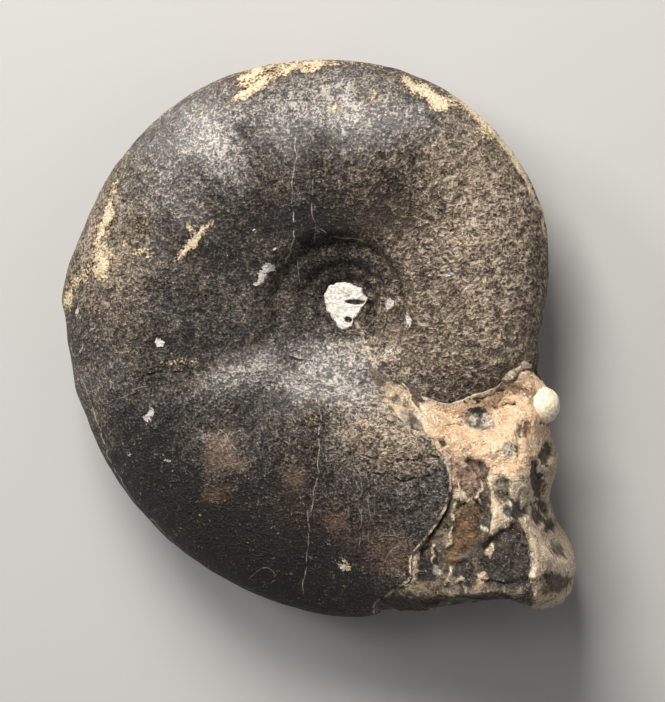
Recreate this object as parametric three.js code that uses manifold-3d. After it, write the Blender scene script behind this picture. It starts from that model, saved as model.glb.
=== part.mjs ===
// A fossil ammonite: a flat coiled shell, turned to stone, whose last whorl is broken open at its end.
// Millimetres, +Z up. It lies on one flank, on the Z = 0 plane. The coil turns in the XY plane about an
// upright axis, anticlockwise as seen from above, and its broken end is on the +X side.
// Angles are unrolled degrees: 0 is +X, they grow with the coil, and one turn earlier is 360 less.

import * as THREE from "three";
import { mergeVertices } from "three/addons/utils/BufferGeometryUtils.js";
import Module from "manifold-3d";

const wasm = await Module();
wasm.setup();

// ---- Driving dimensions -------------------------------------------------------------------------

const LAST_TURN_START = -18; // where the last whorl's broken edge meets the rim of the whorl before it
const LAST_TURN_END = LAST_TURN_START + 360;
const BREAK_START = 270; // from here to the end of the turn the rim is broken

const RIM_GROWTH = 0.0914; // share by which the rim radius grows for each radian of coil
const NAVEL_RADIUS = 9.5; // radius of the seam between whorls at angle 0
const NAVEL_GROWTH = 0.0645; // share by which the seam radius grows for each radian
const HALF_THICKNESS = 8.7; // from the middle plane to the fullest part of the flank at angle 0
const THICKNESS_GROWTH = 0.0914;
const INNER_THICKNESS_GROWTH = 0.05; // the inner whorls are filled with stone, so they stand higher
const ROUNDED_SHARE = 0.65; // share of a whorl's height that rounds over to its rim
const SEAM_WALL = 0.3; // width of the wall above a seam, as a share of the seam radius

const FOLD_COUNT = 16; // broad low folds that cross the flank of a whorl
const FOLD_HEIGHT = 0.22;
const FOLD_LEAN = 12; // degrees a fold leans forward between the seam and the rim
const FOLD_REACH = 0.9; // share of the way to the rim where a fold has faded
const FOLDS_FROM = 20; // degrees at which folds appear, and over which they grow
const FOLDS_GROW = 40;
const FOLDS_TO = 235; // and at which they are gone
const FOLDS_FADE = 30;
const SHELL_RELIEF = 0.12; // slow unevenness of the whole shell
const SHELL_WAVE = 11; // length of that unevenness
const FLANK_SHIFT = 7; // how far it is moved from one flank to the other, so that they differ
const BREAK_RELIEF = 0.45; // chips and hollows of the broken end
const CHIP_WAVE = 8; // their length on the face, and on the wall round it
const BITE_WAVE = 6.5;
const CHIPS_PAST_SEAM = 6; // distance from the seam at which chips have grown to their full depth
const ROUGH_FROM = 284; // degrees over which the stone turns rough, and at the far end even again
const ROUGH_GROWS = 10;
const ROUGH_TO = 338;
const ROUGH_FADES = 8;
const GENTLE_FROM = 288; // degrees over which the steep step at a seam turns gentle
const GENTLE_GROWS = 12;

const WHORLS = 4; // whorls that show; the navel is filled inside the smallest
const NAVEL_FLOOR = 4.6; // height of that filling above the middle plane

const PLUG_RADIUS = 3.5; // the chalky plug on the upper side of the filling
const PLUG_HEIGHT = 0.7;

const NODULE_CENTRE = [31.6, -15.5, 2];
const NODULE_HALF = [2.5, 2.85, 2.8];
const NODULE_DETAIL = 3; // how often each face of the twenty-sided start is divided

const REST_TURN_X = -3.2; // degrees that lay the lower flank's three highest places on one level
const REST_TURN_Y = -2.4;
const WORN_DEPTH = 0.5; // what has been rubbed off those places
const WORN_SIDE = 200; // a block larger than the stone stands for what rubbed them off
const WORN_THICK = 20;

// Rim radius round the last turn, [degrees, mm]: an even curve as far as the break, then its corners.
const RIM = [
  [-18, 31.2], [-9, 30.3], [2, 31.2], [12, 32.3], [25, 34.2], [45, 36], [62, 37.5], [80, 39.2],
  [98, 40.9], [130, 45.3], [140, 46.4], [150, 47.3], [163, 48.3], [178, 50.2], [183, 49.4],
  [210, 49.3], [240, 49.2], [270, 49.9], [276, 49.3], [290, 50.9], [296.8, 52.4], [300.7, 54.8],
  [302.4, 57.2], [305, 58.2], [307, 57.7], [308.7, 56.3], [310.9, 53.4], [311.8, 49.4],
  [312.7, 47.2], [314.7, 43.8], [317.7, 42.7], [322.3, 41.1], [326.7, 37.9], [331.6, 35.8],
  [336.4, 34.2], [339.3, 33], [342, 31.2],
];

// Seam radius where the last whorl's edge leaves the navel and sweeps out to the rim.
const SEAM_SWEEP = [
  [180, 11.3], [240, 11.9], [280, 12.3], [300, 14.2], [311, 19], [318, 24.1], [331, 28.5],
  [338, 30.4], [342, 31.5],
];

// Width of the rise above that edge, of the rounding to the rim, and the height of the broken stone.
const BROKEN_RISE = [[250, 3.4], [290, 4], [300, 5.5], [311, 8.5], [318, 10], [331, 9], [342, 9]];
const BROKEN_ROUNDING = [
  [264, 24], [276, 11], [288, 3.5], [296, 2.4], [303, 3.8], [328, 3.8], [334, 5.5], [342, 14.4],
];
const BROKEN_HEIGHT = [[270, 13.3], [300, 13.8], [314, 12.6], [326, 11], [334, 9.6], [342, 8.6]];

// ---- Small helpers ------------------------------------------------------------------------------

const radians = (degrees) => (degrees * Math.PI) / 180;
const clamp01 = (value) => Math.min(Math.max(value, 0), 1);

/** Value at x of an even curve through [x, value] stations, which never swings past a station. */
function through(stations, x) {
  const last = stations.length - 1;
  if (x <= stations[0][0]) return stations[0][1];
  if (x >= stations[last][0]) return stations[last][1];
  const i = stations.findIndex(([place]) => place > x) - 1;
  const rise = (j) => (stations[j + 1][1] - stations[j][1]) / (stations[j + 1][0] - stations[j][0]);
  const slope = (j) => {
    if (j === 0 || j === last) return 0;
    const before = rise(j - 1);
    const after = rise(j);
    return before * after > 0 ? (2 * before * after) / (before + after) : 0;
  };
  const [x0, y0] = stations[i];
  const [x1, y1] = stations[i + 1];
  const t = (x - x0) / (x1 - x0);
  const ease = t * t * (3 - 2 * t);
  const start = t * (1 - t) * (1 - t) * (x1 - x0) * slope(i);
  const end = t * t * (t - 1) * (x1 - x0) * slope(i + 1);
  return y0 * (1 - ease) + y1 * ease + start + end;
}

/** Uneven ground: a few slow waves that cross each other and never line up. */
function uneven(x, y, wavelength) {
  const k = (2 * Math.PI) / wavelength;
  const first = Math.sin(k * (x + 0.31 * y) + 1.7 * Math.sin(0.37 * k * y));
  const second = Math.sin(k * (0.83 * y - 0.46 * x) + 2.1 * Math.sin(0.29 * k * x));
  return 0.5 * (first + second);
}

// ---- The coil -----------------------------------------------------------------------------------

function rimRadius(angle) {
  if (angle >= LAST_TURN_START) return through(RIM, angle);
  return RIM[0][1] * Math.exp(RIM_GROWTH * radians(angle - LAST_TURN_START));
}

function seamRadius(angle) {
  if (angle >= SEAM_SWEEP[0][0]) return through(SEAM_SWEEP, angle);
  return NAVEL_RADIUS * Math.exp(NAVEL_GROWTH * radians(angle));
}

function halfThickness(angle) {
  const growth = angle > 0 ? THICKNESS_GROWTH : INNER_THICKNESS_GROWTH;
  const grown = HALF_THICKNESS * Math.exp(growth * radians(angle));
  return angle > BREAK_START ? through(BROKEN_HEIGHT, angle) : grown;
}

function roundingWidth(angle) {
  if (angle > BROKEN_ROUNDING[0][0]) return through(BROKEN_ROUNDING, angle);
  return ROUNDED_SHARE * (rimRadius(angle) - seamRadius(angle));
}

/** Share of the flank's height left at a radius, where the whorl rounds over to its rim: an ellipse. */
function rounding(angle, radius) {
  const inward = clamp01((rimRadius(angle) - radius) / roundingWidth(angle));
  return Math.sqrt(1 - (1 - inward) ** 2);
}

/** Folds that lean forward over the flank and fade towards the rim and near the seam. */
function folds(angle, radius) {
  const across = (radius - seamRadius(angle)) / (rimRadius(angle) - seamRadius(angle));
  const strength = Math.sin(Math.PI * clamp01(across / FOLD_REACH)) ** 2;
  const fresh = clamp01((angle - FOLDS_FROM) / FOLDS_GROW) * clamp01((FOLDS_TO - angle) / FOLDS_FADE);
  const phase = radians(FOLD_COUNT * (angle - FOLD_LEAN * across));
  return FOLD_HEIGHT * strength * fresh * Math.cos(phase);
}

/** Share of the rise from the whorl below to this whorl's flank: steep at a seam, gentle where broken. */
function riseShare(angle, radius) {
  const seam = seamRadius(angle);
  const width = angle > BROKEN_RISE[0][0] ? through(BROKEN_RISE, angle) : SEAM_WALL * seam;
  const share = clamp01((radius - seam) / width);
  const steep = 1 - (1 - share) ** 2;
  const gentle = share * share * (3 - 2 * share);
  const broken = clamp01((angle - GENTLE_FROM) / GENTLE_GROWS);
  return steep * (1 - broken) + gentle * broken;
}

/** Height of the flank above the middle plane: each whorl rises out of the one before it. */
function flankHeight(angle, radius, whorls = WHORLS) {
  if (whorls === 0) return NAVEL_FLOOR;
  const below = flankHeight(angle - 360, radius, whorls - 1);
  if (radius <= seamRadius(angle)) return below;
  const own = (halfThickness(angle) + folds(angle, radius)) * rounding(angle, radius);
  return below + (own - below) * riseShare(angle, radius);
}

/** Chalk that fills the middle of the navel with a low dome. */
function plugHeight(radius) {
  const share = clamp01(1 - (radius / PLUG_RADIUS) ** 2);
  return PLUG_HEIGHT * Math.sqrt(share);
}

// ---- The stone as one closed surface ------------------------------------------------------------

const SEGMENTS = 96;
const SHARE_BEFORE_BREAK = 0.58; // of the segments; the rest are kept for the broken end
const RINGS_ABOVE = 27;
const RINGS_BELOW = 22;
const FLAT_SHARE = 0.78; // of the rings that lie on the flank where the edge is sharp
const FLAT_SHARE_LOST = 0.0187; // of the rings, given to the rim for each mm that it rounds over
const QUARTER_RINGS = 0.14; // share of the rings, from the axis out, with a quarter of the points
const HALF_RINGS = 0.34; // and as far as which they have half of them
const WELD = 1e-4; // points closer than this are one point

/** Angle of a share of the way round; the broken end gets the closer steps. */
function angleAt(share) {
  if (share < SHARE_BEFORE_BREAK) {
    return LAST_TURN_START + ((BREAK_START - LAST_TURN_START) * share) / SHARE_BEFORE_BREAK;
  }
  const rest = (share - SHARE_BEFORE_BREAK) / (1 - SHARE_BEFORE_BREAK);
  return BREAK_START + (LAST_TURN_END - BREAK_START) * rest;
}

/** Radius of a ring, from 0 at the axis to 1 at the rim, and how far it has turned over the rim. */
function ringPlace(angle, ring) {
  const rim = rimRadius(angle);
  const width = roundingWidth(angle);
  const flat = FLAT_SHARE - FLAT_SHARE_LOST * width;
  if (ring < flat) return { radius: ((rim - width) * ring) / flat, turned: 0 };
  const turned = (((ring - flat) / (1 - flat)) * Math.PI) / 2;
  return { radius: rim - width * (1 - Math.sin(turned)), turned };
}

/** How much a place belongs to the rough broken end: 0 on whole shell, 1 well inside the break. */
function brokenShare(angle) {
  return clamp01((angle - ROUGH_FROM) / ROUGH_GROWS) * clamp01((ROUGH_TO - angle) / ROUGH_FADES);
}

/** One point of the surface, side +1 on the upper flank and -1 on the lower. */
function surfacePoint(share, ring, side) {
  const angle = angleAt(share);
  const { radius, turned } = ringPlace(angle, ring);
  const x = radius * Math.cos(radians(angle));
  const y = radius * Math.sin(radians(angle));
  const broken = brokenShare(angle);
  const pastSeam = clamp01((radius - seamRadius(angle)) / CHIPS_PAST_SEAM);
  const waves = SHELL_RELIEF * uneven(x, y + FLANK_SHIFT * side, SHELL_WAVE);
  const chips = BREAK_RELIEF * broken * pastSeam * uneven(x, y, CHIP_WAVE);
  const plug = side > 0 ? plugHeight(radius) : 0;
  const height = flankHeight(angle, radius) + plug + (waves + chips) * Math.cos(turned);
  const bite = BREAK_RELIEF * broken * Math.sin(turned) * uneven(side * height, y, BITE_WAVE);
  const kept = 1 - bite / Math.max(radius, 1);
  return [x * kept, y * kept, side * height];
}

/** Rings of points from one pole over the rim to the other; the number in a ring doubles outwards. */
function stoneSurface() {
  const positions = [];
  const indices = [];
  const stepAt = (ring) => {
    if (ring < QUARTER_RINGS) return 4;
    return ring < HALF_RINGS ? 2 : 1;
  };
  const addRing = (ring, side, step) => {
    const first = positions.length / 3;
    for (let i = 0; i < SEGMENTS; i += step) {
      positions.push(...surfacePoint(i / SEGMENTS, ring, side));
    }
    return { first, count: SEGMENTS / step };
  };
  const face = (a, b, c, side) => indices.push(...(side > 0 ? [a, b, c] : [a, c, b]));
  const join = (inner, outer, side) => {
    const times = outer.count / inner.count;
    for (let i = 0; i < inner.count; i += 1) {
      const a = inner.first + i;
      const b = inner.first + ((i + 1) % inner.count);
      const outerAt = (k) => outer.first + ((i * times + k) % outer.count);
      face(a, outerAt(0), outerAt(1), side);
      face(a, outerAt(1), b, side);
      if (times === 2) face(b, outerAt(1), outerAt(2), side);
    }
  };
  const rim = addRing(1, 1, 1);
  for (const [side, rings] of [[1, RINGS_ABOVE], [-1, RINGS_BELOW]]) {
    const pole = positions.length / 3;
    positions.push(...surfacePoint(0, 0, side));
    let inner = null;
    for (let j = 1; j <= rings; j += 1) {
      const outer = j === rings ? rim : addRing(j / rings, side, stepAt(j / rings));
      if (inner) join(inner, outer, side);
      for (let i = 0; !inner && i < outer.count; i += 1) {
        face(pole, outer.first + i, outer.first + ((i + 1) % outer.count), side);
      }
      inner = outer;
    }
  }
  const geometry = new THREE.BufferGeometry();
  geometry.setAttribute("position", new THREE.Float32BufferAttribute(positions, 3));
  geometry.setIndex(indices);
  return geometry;
}

/** The round pale nodule that is cemented into the broken end. */
function noduleSurface() {
  const geometry = new THREE.IcosahedronGeometry(1, NODULE_DETAIL);
  geometry.scale(...NODULE_HALF);
  geometry.translate(...NODULE_CENTRE);
  return geometry;
}

// ---- Joining, resting and wear ------------------------------------------------------------------

function toSolid(geometry) {
  const bare = geometry.clone();
  bare.deleteAttribute("normal");
  bare.deleteAttribute("uv");
  const merged = mergeVertices(bare, WELD);
  const vertProperties = new Float32Array(merged.attributes.position.array);
  const triVerts = new Uint32Array(merged.index.array);
  return new wasm.Manifold(new wasm.Mesh({ numProp: 3, vertProperties, triVerts }));
}

function toGeometry(solid) {
  const mesh = solid.getMesh();
  const geometry = new THREE.BufferGeometry();
  geometry.setAttribute("position", new THREE.BufferAttribute(mesh.vertProperties, 3));
  geometry.setIndex(new THREE.BufferAttribute(mesh.triVerts, 1));
  return geometry;
}

/** Lays the stone on its lower flank, then rubs flats on the places that it touches with. */
function layDown(geometry) {
  geometry.rotateX(radians(REST_TURN_X));
  geometry.rotateY(radians(REST_TURN_Y));
  geometry.computeBoundingBox();
  const floor = geometry.boundingBox.min.z + WORN_DEPTH;
  const worn = new THREE.BoxGeometry(WORN_SIDE, WORN_SIDE, WORN_THICK);
  worn.translate(0, 0, floor - WORN_THICK / 2);
  const rested = toGeometry(toSolid(geometry).subtract(toSolid(worn)));
  rested.computeBoundingBox();
  const { min, max } = rested.boundingBox;
  return rested.translate(-(min.x + max.x) / 2, -(min.y + max.y) / 2, -min.z);
}

function ammonite() {
  const whole = toGeometry(toSolid(stoneSurface()).add(toSolid(noduleSurface())));
  const geometry = layDown(whole);
  geometry.computeVertexNormals();
  const stone = new THREE.MeshStandardMaterial({ color: 0x3a332d, roughness: 0.55, metalness: 0 });
  const mesh = new THREE.Mesh(geometry, stone);
  mesh.name = "ammonite";
  return mesh;
}

const group = new THREE.Group();
group.add(ammonite());

export default group;
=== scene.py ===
import bpy
import numpy as np
from mathutils import Matrix, Vector


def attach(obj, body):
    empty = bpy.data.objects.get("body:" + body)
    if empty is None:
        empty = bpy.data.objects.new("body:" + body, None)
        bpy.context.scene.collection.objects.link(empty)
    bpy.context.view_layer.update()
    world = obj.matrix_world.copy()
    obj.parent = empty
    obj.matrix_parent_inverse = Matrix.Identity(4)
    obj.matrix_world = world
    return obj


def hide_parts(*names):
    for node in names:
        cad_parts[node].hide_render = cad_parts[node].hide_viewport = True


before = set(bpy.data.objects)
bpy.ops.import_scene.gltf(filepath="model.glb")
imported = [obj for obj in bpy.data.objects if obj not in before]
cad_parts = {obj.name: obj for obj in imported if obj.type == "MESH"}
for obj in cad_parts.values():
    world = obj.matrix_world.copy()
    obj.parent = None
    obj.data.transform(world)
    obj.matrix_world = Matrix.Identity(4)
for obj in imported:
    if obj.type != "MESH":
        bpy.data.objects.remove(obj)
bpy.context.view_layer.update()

# %% [markdown]
# ## The lie of the coil
# All shapes here are worked out in millimetres about the coil's own axis: x and y in the plane of the
# coil, z out of the upper flank, and angles counted the way the shell grew. The last turn runs from
# -18 degrees round to 342. A growing shell is an even spiral, but this one was worn and broken. So its
# outer edge, the rim, is given at stations that follow the real edge, and a smooth curve goes through
# them. A cubic that may overshoot would put ripples on the rim, so the slope at each station is the
# harmonic mean of the rises beside it, which never overshoots.
# %% Stations of the last turn
TURN_START = -18.0
TURN_END = 342.0
RIM_GROWTH = 0.0914
RIM = [
    (-18, 31.2), (-9, 30.3), (2, 31.2), (12, 32.3), (25, 34.2), (45, 36), (62, 37.5), (80, 39.2),
    (98, 40.9), (130, 45.3), (140, 46.4), (150, 47.3), (163, 48.3), (178, 50.2), (183, 49.4),
    (210, 49.3), (240, 49.2), (270, 49.9), (276, 49.3), (290, 50.9), (296.8, 52.4), (300.7, 54.8),
    (302.4, 57.2), (305, 58.2), (307, 57.7), (308.7, 56.3), (310.9, 53.4), (311.8, 49.4),
    (312.7, 47.2), (314.7, 43.8), (317.7, 42.7), (322.3, 41.1), (326.7, 37.9), (331.6, 35.8),
    (336.4, 34.2), (339.3, 33), (342, 31.2),
]
print("stations of the rim:", len(RIM))


# %% Curves through stations
def smooth(value):
    """Eased step: 0 below 0, 1 above 1, and 3t^2 - 2t^3 between."""
    t = np.clip(value, 0, 1)
    return t * t * (3 - 2 * t)


def through(stations, place):
    """Value of an even curve through stations (place, value): cubic between two of them, with the
    harmonic mean of the rises on either side as the slope, and level at both ends."""
    places, values = np.asarray(stations, float).T
    rise = np.diff(values) / np.diff(places)
    before, after = rise[:-1], rise[1:]
    turns = before * after > 0
    mean = np.where(turns, 2 * before * after / np.where(turns, before + after, 1), 0)
    slope = np.r_[0, mean, 0]
    place = np.clip(place, places[0], places[-1])
    i = np.clip(np.searchsorted(places, place, side="right") - 1, 0, len(places) - 2)
    step = places[i + 1] - places[i]
    t = (place - places[i]) / step
    ease = smooth(t)
    bend = (1 - t) * slope[i] - t * slope[i + 1]
    return values[i] * (1 - ease) + values[i + 1] * ease + t * (1 - t) * step * bend


def rim_radius(angle):
    """Distance from the axis to the rim: through the stations on the last turn, and before it
    smaller by an even share for each degree, as an ammonite grows."""
    inner = RIM[0][1] * np.exp(RIM_GROWTH * np.radians(angle - TURN_START))
    return np.where(angle >= TURN_START, through(RIM, angle), inner)


print("rim at 0, 90, 180, 270 degrees, mm:", rim_radius(np.array([0.0, 90, 180, 270])).round(1))

# %% [markdown]
# ## How a turn stands on the one before
# Each turn wraps over the last, and the line where it meets it is the seam. From the seam the flank
# rises in a short steep wall, runs level, and rounds over to the rim. Beyond 264 degrees the shell is
# broken: there the flank ends in a rough face, so its rounding is tight. A profile could be spun round
# the axis, but it changes all the way along. So the height is worked out for each place, from the
# inside turn outwards: a turn is the turn below, plus its own share above it.
# %% Stations of the seam and the broken part
SEAM = [(180, 11.3), (240, 11.9), (280, 12.3), (300, 14.2), (311, 19), (318, 24.1), (331, 28.5),
        (338, 30.4), (342, 31.5)]
BROKEN_RISE = [(250, 3.4), (290, 4), (300, 5.5), (311, 8.5), (318, 10), (331, 9), (342, 9)]
BROKEN_ROUNDING = [
    (264, 24), (276, 11), (288, 3.5), (296, 2.4), (303, 3.8), (328, 3.8), (334, 5.5), (342, 14.4),
]
BROKEN_HEIGHT = [(270, 13.3), (300, 13.8), (314, 12.6), (326, 11), (334, 9.6), (342, 8.6)]
WHORLS = 4
NAVEL_FLOOR = 4.6
NAVEL_RADIUS = 9.5
NAVEL_GROWTH = 0.0645
HALF_THICKNESS = 8.7
THICKNESS_GROWTH = 0.0914
INNER_THICKNESS_GROWTH = 0.05
ROUNDED_SHARE = 0.65
SEAM_WALL = 0.3
GENTLE_FROM = 288
GENTLE_GROWS = 12
print("stations of the seam and of the broken part:", len(SEAM), len(BROKEN_HEIGHT))


# %% Seam, thickness and rounding
def seam_radius(angle):
    """Distance from the axis to the seam: an even spiral, then through the stations of the last
    half turn."""
    spiral = NAVEL_RADIUS * np.exp(NAVEL_GROWTH * np.radians(angle))
    return np.where(angle >= SEAM[0][0], through(SEAM, angle), spiral)


def half_thickness(angle):
    """Half of the turn's thickness: an even spiral, then the stations of the broken end."""
    growth = np.where(angle > 0, THICKNESS_GROWTH, INNER_THICKNESS_GROWTH)
    grown = HALF_THICKNESS * np.exp(growth * np.radians(angle))
    return np.where(angle > BROKEN_HEIGHT[0][0], through(BROKEN_HEIGHT, angle), grown)


def rounding_width(angle):
    """How far in from the rim the rounding starts: a share of the turn's width, less where broken."""
    whole = ROUNDED_SHARE * (rim_radius(angle) - seam_radius(angle))
    return np.where(angle > BROKEN_ROUNDING[0][0], through(BROKEN_ROUNDING, angle), whole)


print("seam and half thickness at 0 degrees, mm:", seam_radius(0.0), half_thickness(0.0))


# %% Height of the flank
def rise_share(angle, radius):
    """Share of the step from the turn below, 0 at the seam to 1 on the flank: steep at first on
    the shell, and gentle at both ends where the shell is broken."""
    seam = seam_radius(angle)
    width = np.where(angle > BROKEN_RISE[0][0], through(BROKEN_RISE, angle), SEAM_WALL * seam)
    share = np.clip((radius - seam) / width, 0, 1)
    steep = 1 - (1 - share) ** 2
    broken = np.clip((angle - GENTLE_FROM) / GENTLE_GROWS, 0, 1)
    return steep * (1 - broken) + smooth(share) * broken


def flank_height(angle, radius, whorls=WHORLS):
    """Height of the flank above the middle plane: the turn below, plus this turn's share of the
    step up to its own quarter ellipse, thickness x sqrt(1 - (1 - inward / width) squared)."""
    if whorls == 0:
        return np.full(np.broadcast(angle, radius).shape, NAVEL_FLOOR)
    below = flank_height(angle - 360, radius, whorls - 1)
    inward = np.clip((rim_radius(angle) - radius) / rounding_width(angle), 0, 1)
    own = half_thickness(angle) * np.sqrt(1 - (1 - inward) ** 2)
    risen = below + (own - below) * rise_share(angle, radius)
    return np.where(radius <= seam_radius(angle), below, risen)


print("flank at 0 degrees, 10 to 30 mm out:", flank_height(0.0, np.arange(10.0, 31, 5)).round(1))

# %% [markdown]
# ## Laying it down
# The stone lies on its hidden flank, and leans a little because that flank is swollen. The finished
# objects could be turned, but a piece keeps its place in its mesh, as a CAD node does. So every shape
# is made upright about the axis, then its points are turned by the same two small angles as the CAD
# part and set down where the part's own box says.
# %% From the coil to the table
LEAN_X = np.radians(-3.2)
LEAN_Y = np.radians(-2.4)
AXIS_FOOT = np.array([7.371, 4.686, 12.388])

lean_x = np.array([
    [1, 0, 0],
    [0, np.cos(LEAN_X), -np.sin(LEAN_X)],
    [0, np.sin(LEAN_X), np.cos(LEAN_X)],
])
lean_y = np.array([
    [np.cos(LEAN_Y), 0, np.sin(LEAN_Y)],
    [0, 1, 0],
    [-np.sin(LEAN_Y), 0, np.cos(LEAN_Y)],
])
LEAN = lean_y @ lean_x


def laid(points):
    """Coil millimetres to table metres: turned by both leans, moved to the axis's place on the
    table, and nothing lower than the table, where the stone is worn flat."""
    place = points @ LEAN.T + AXIS_FOOT
    place[:, 2] = np.maximum(place[:, 2], 0)
    return place / 1000


print("the axis meets the middle plane at, mm:", AXIS_FOOT)

# %% [markdown]
# ## Random relief that comes out the same every time
# Weathered stone is rough at every size, from long swells to single grains. Blender has noise
# textures, but only inside materials, and the shape here has to be in the mesh itself. So a small
# value noise is worked out in numpy: every corner of a lattice gets a fixed pseudo-random number, and
# the points between blend their eight corners.
# %% Grain in the stone
def lattice_value(corner, seed):
    """Pseudo-random number from -1 to 1 for each lattice corner: its three whole numbers are
    multiplied by large primes, added, and folded over themselves."""
    mixed = corner[..., 0] * 374761393 + corner[..., 1] * 668265263 + corner[..., 2] * 1440662683
    mixed = (mixed + seed * 974634777) & 0xFFFFFFFF
    mixed = ((mixed ^ (mixed >> 13)) * 1274126177) & 0xFFFFFFFF
    mixed = (mixed ^ (mixed >> 16)) & 0xFFFFFFFF
    return mixed / 0x7FFFFFFF - 1


def grain(points, size, seed):
    """Relief from -1 to 1 with lumps about size mm across: the corner values of the lattice cell,
    weighted by a smooth step along each of the three directions."""
    place = points / size
    corner = np.floor(place).astype(np.int64)
    t = place - corner
    t = t * t * t * (t * (6 * t - 15) + 10)
    total = np.zeros(len(points))
    for dx in (0, 1):
        for dy in (0, 1):
            for dz in (0, 1):
                pick = np.array([dx, dy, dz])
                weight = np.prod(np.where(pick == 1, t, 1 - t), axis=1)
                total += weight * lattice_value(corner + pick, seed)
    return total


def rough(points, size, seed, layers=3):
    """Grain of several sizes together: each layer half the size and half the height of the last."""
    return sum(grain(points, size / 2 ** k, seed + k) / 2 ** k for k in range(layers))


print("grain at three points:", grain(np.array([[0.0, 0, 0], [1, 2, 3], [9, 9, 9]]), 2.5, 1).round(2))

# %% [markdown]
# ## Marks laid on the flank
# Folds, cracks and stains have their own places, given in millimetres on the plane of the coil. They
# could be painted on a picture, but a picture can't press into the shape and blurs close up. So a mark
# is a line or an outline of a few points. For any point of the flank the distance to the mark says how
# deep to press it and, later, where its colour starts.
# %% Distances to a mark
FAR_OFF = 1e3


def off_stretch(x, y, start, stop):
    """Distance to one straight stretch, and -1 on its left or 1 on its right: the nearest place
    is the foot of the perpendicular, held between the two ends."""
    (ax, ay), (bx, by) = start, stop
    dx, dy = bx - ax, by - ay
    share = np.clip(((x - ax) * dx + (y - ay) * dy) / (dx * dx + dy * dy), 0, 1)
    away = np.hypot(x - ax - share * dx, y - ay - share * dy)
    return away, np.where(dx * (y - ay) - dy * (x - ax) > 0, -1, 1)


def line_distance(x, y, line):
    """Distance to a broken line: the smallest of the distances to its stretches."""
    nearest = np.full(x.shape, FAR_OFF)
    for start, stop in zip(line[:-1], line[1:]):
        nearest = np.minimum(nearest, off_stretch(x, y, start, stop)[0])
    return nearest


def depth_inside(x, y, outline):
    """Distance to a closed outline, positive inside: a point is inside if a ray from it crosses
    the outline an odd number of times."""
    ring = list(outline) + [outline[0]]
    crossed = np.zeros(x.shape, bool)
    for (ax, ay), (bx, by) in zip(ring[:-1], ring[1:]):
        if ay != by:
            spans = (ay > y) != (by > y)
            crossed ^= spans & (x < (bx - ax) * (y - ay) / (by - ay) + ax)
    away = line_distance(x, y, ring)
    return np.where(crossed, away, -away)


def spread_of(spots, x, y):
    """Sum of round or oval patches that fade outwards: strength x exp(-(distance / reach)
    squared), each with its middle, its reach along and across, and its turn in degrees."""
    total = np.zeros(x.shape)
    for middle_x, middle_y, along, across, turn, strength in spots:
        c, s = np.cos(np.radians(turn)), np.sin(np.radians(turn))
        p = ((x - middle_x) * c + (y - middle_y) * s) / along
        q = ((y - middle_y) * c - (x - middle_x) * s) / across
        total += strength * np.exp(-(p * p + q * q))
    return total


print("10 mm from a line:", line_distance(np.array([0.0]), np.array([10.0]), [(-5, 0), (5, 0)]))

# %% [markdown]
# ## Marks are drawn on a slanted sheet
# The flank and the broken face meet at an edge, and the marks run over it. Two drawings would not
# meet there. So all marks are drawn on one flat sheet that looks at both, turned 15 degrees about the
# coil's y, with its middle near the axis. The drawing is carried onto the stone as from a point half a
# metre above the sheet, so it spreads a little towards the higher parts. The hidden flank gets the
# same drawing mirrored.
# %% The slanted sheet
TURN_TO_SIDE = np.radians(15)
SHEET_MIDDLE = np.array([-3.807, -6.804])
SHEET_DISTANCE = 473.8


def on_sheet(points, mirrored=True):
    """Place of coil points on the slanted sheet, in mm: their shares along the sheet's two
    directions, spread from its middle by distance / (distance - height above the sheet)."""
    z = np.abs(points[:, 2]) if mirrored else points[:, 2]
    c, s = np.cos(TURN_TO_SIDE), np.sin(TURN_TO_SIDE)
    spread = SHEET_DISTANCE / (SHEET_DISTANCE - points[:, 0] * s - z * c)
    u = (points[:, 0] * c - z * s - SHEET_MIDDLE[0]) * spread + SHEET_MIDDLE[0]
    v = (points[:, 1] - SHEET_MIDDLE[1]) * spread + SHEET_MIDDLE[1]
    return u, v


axis_u, axis_v = on_sheet(np.array([[0.0, 0, 5]]))
print("5 mm up the axis, on the sheet, mm:", axis_u.round(2), axis_v.round(2))

# %% [markdown]
# ## The edge of the broken shell
# Past this edge the shell has come away and the filling shows, about 0.7 mm lower. On a polar grid a
# ragged edge would turn into stairs, so the grid is bent instead: one of its columns runs exactly along
# the edge, on the upper flank, over the rim and back along the hidden flank. The place along a column
# is counted as the radius up to the rim, and on past it as twice the rim less the radius.
# %% Where the shell ends
SHELL_EDGE = [
    (13.9, 298.3), (16, 297.4), (18.2, 300.1), (20.2, 301.3), (22.1, 302.3), (23.4, 303.9),
    (24.5, 306.2), (25.6, 307.8), (27.5, 306.5), (29.7, 306.8), (31.4, 306.1), (32.8, 305),
    (34.1, 303.5), (34.9, 302.1), (35.8, 300.6), (36.8, 298.3), (38.2, 294.5), (39.4, 291.1),
    (40.8, 287.9), (42.1, 287.1), (44.1, 286.3), (45.3, 282.3), (47.3, 276.2), (50.5, 274),
    (54, 276), (58, 281), (64, 284), (70, 291), (76, 297), (80, 300), (86, 298),
]
TRIES = 30
FIRST_GUESS = 290.0


def rim_turn(v, width, height):
    """Turning angle round the quarter ellipse of the rim, for a share v of its length: a cubic
    that leaves at (length / width) and arrives at (length / height), so that steps stay even."""
    length = 0.5 * np.pi * np.sqrt((width ** 2 + height ** 2) / 2)
    leave = np.minimum(length / width, 1.5 * np.pi)
    arrive = np.minimum(length / height, 1.5 * np.pi)
    return 0.5 * np.pi * smooth(v) + v * (1 - v) * ((1 - v) * leave - v * arrive)


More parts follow.
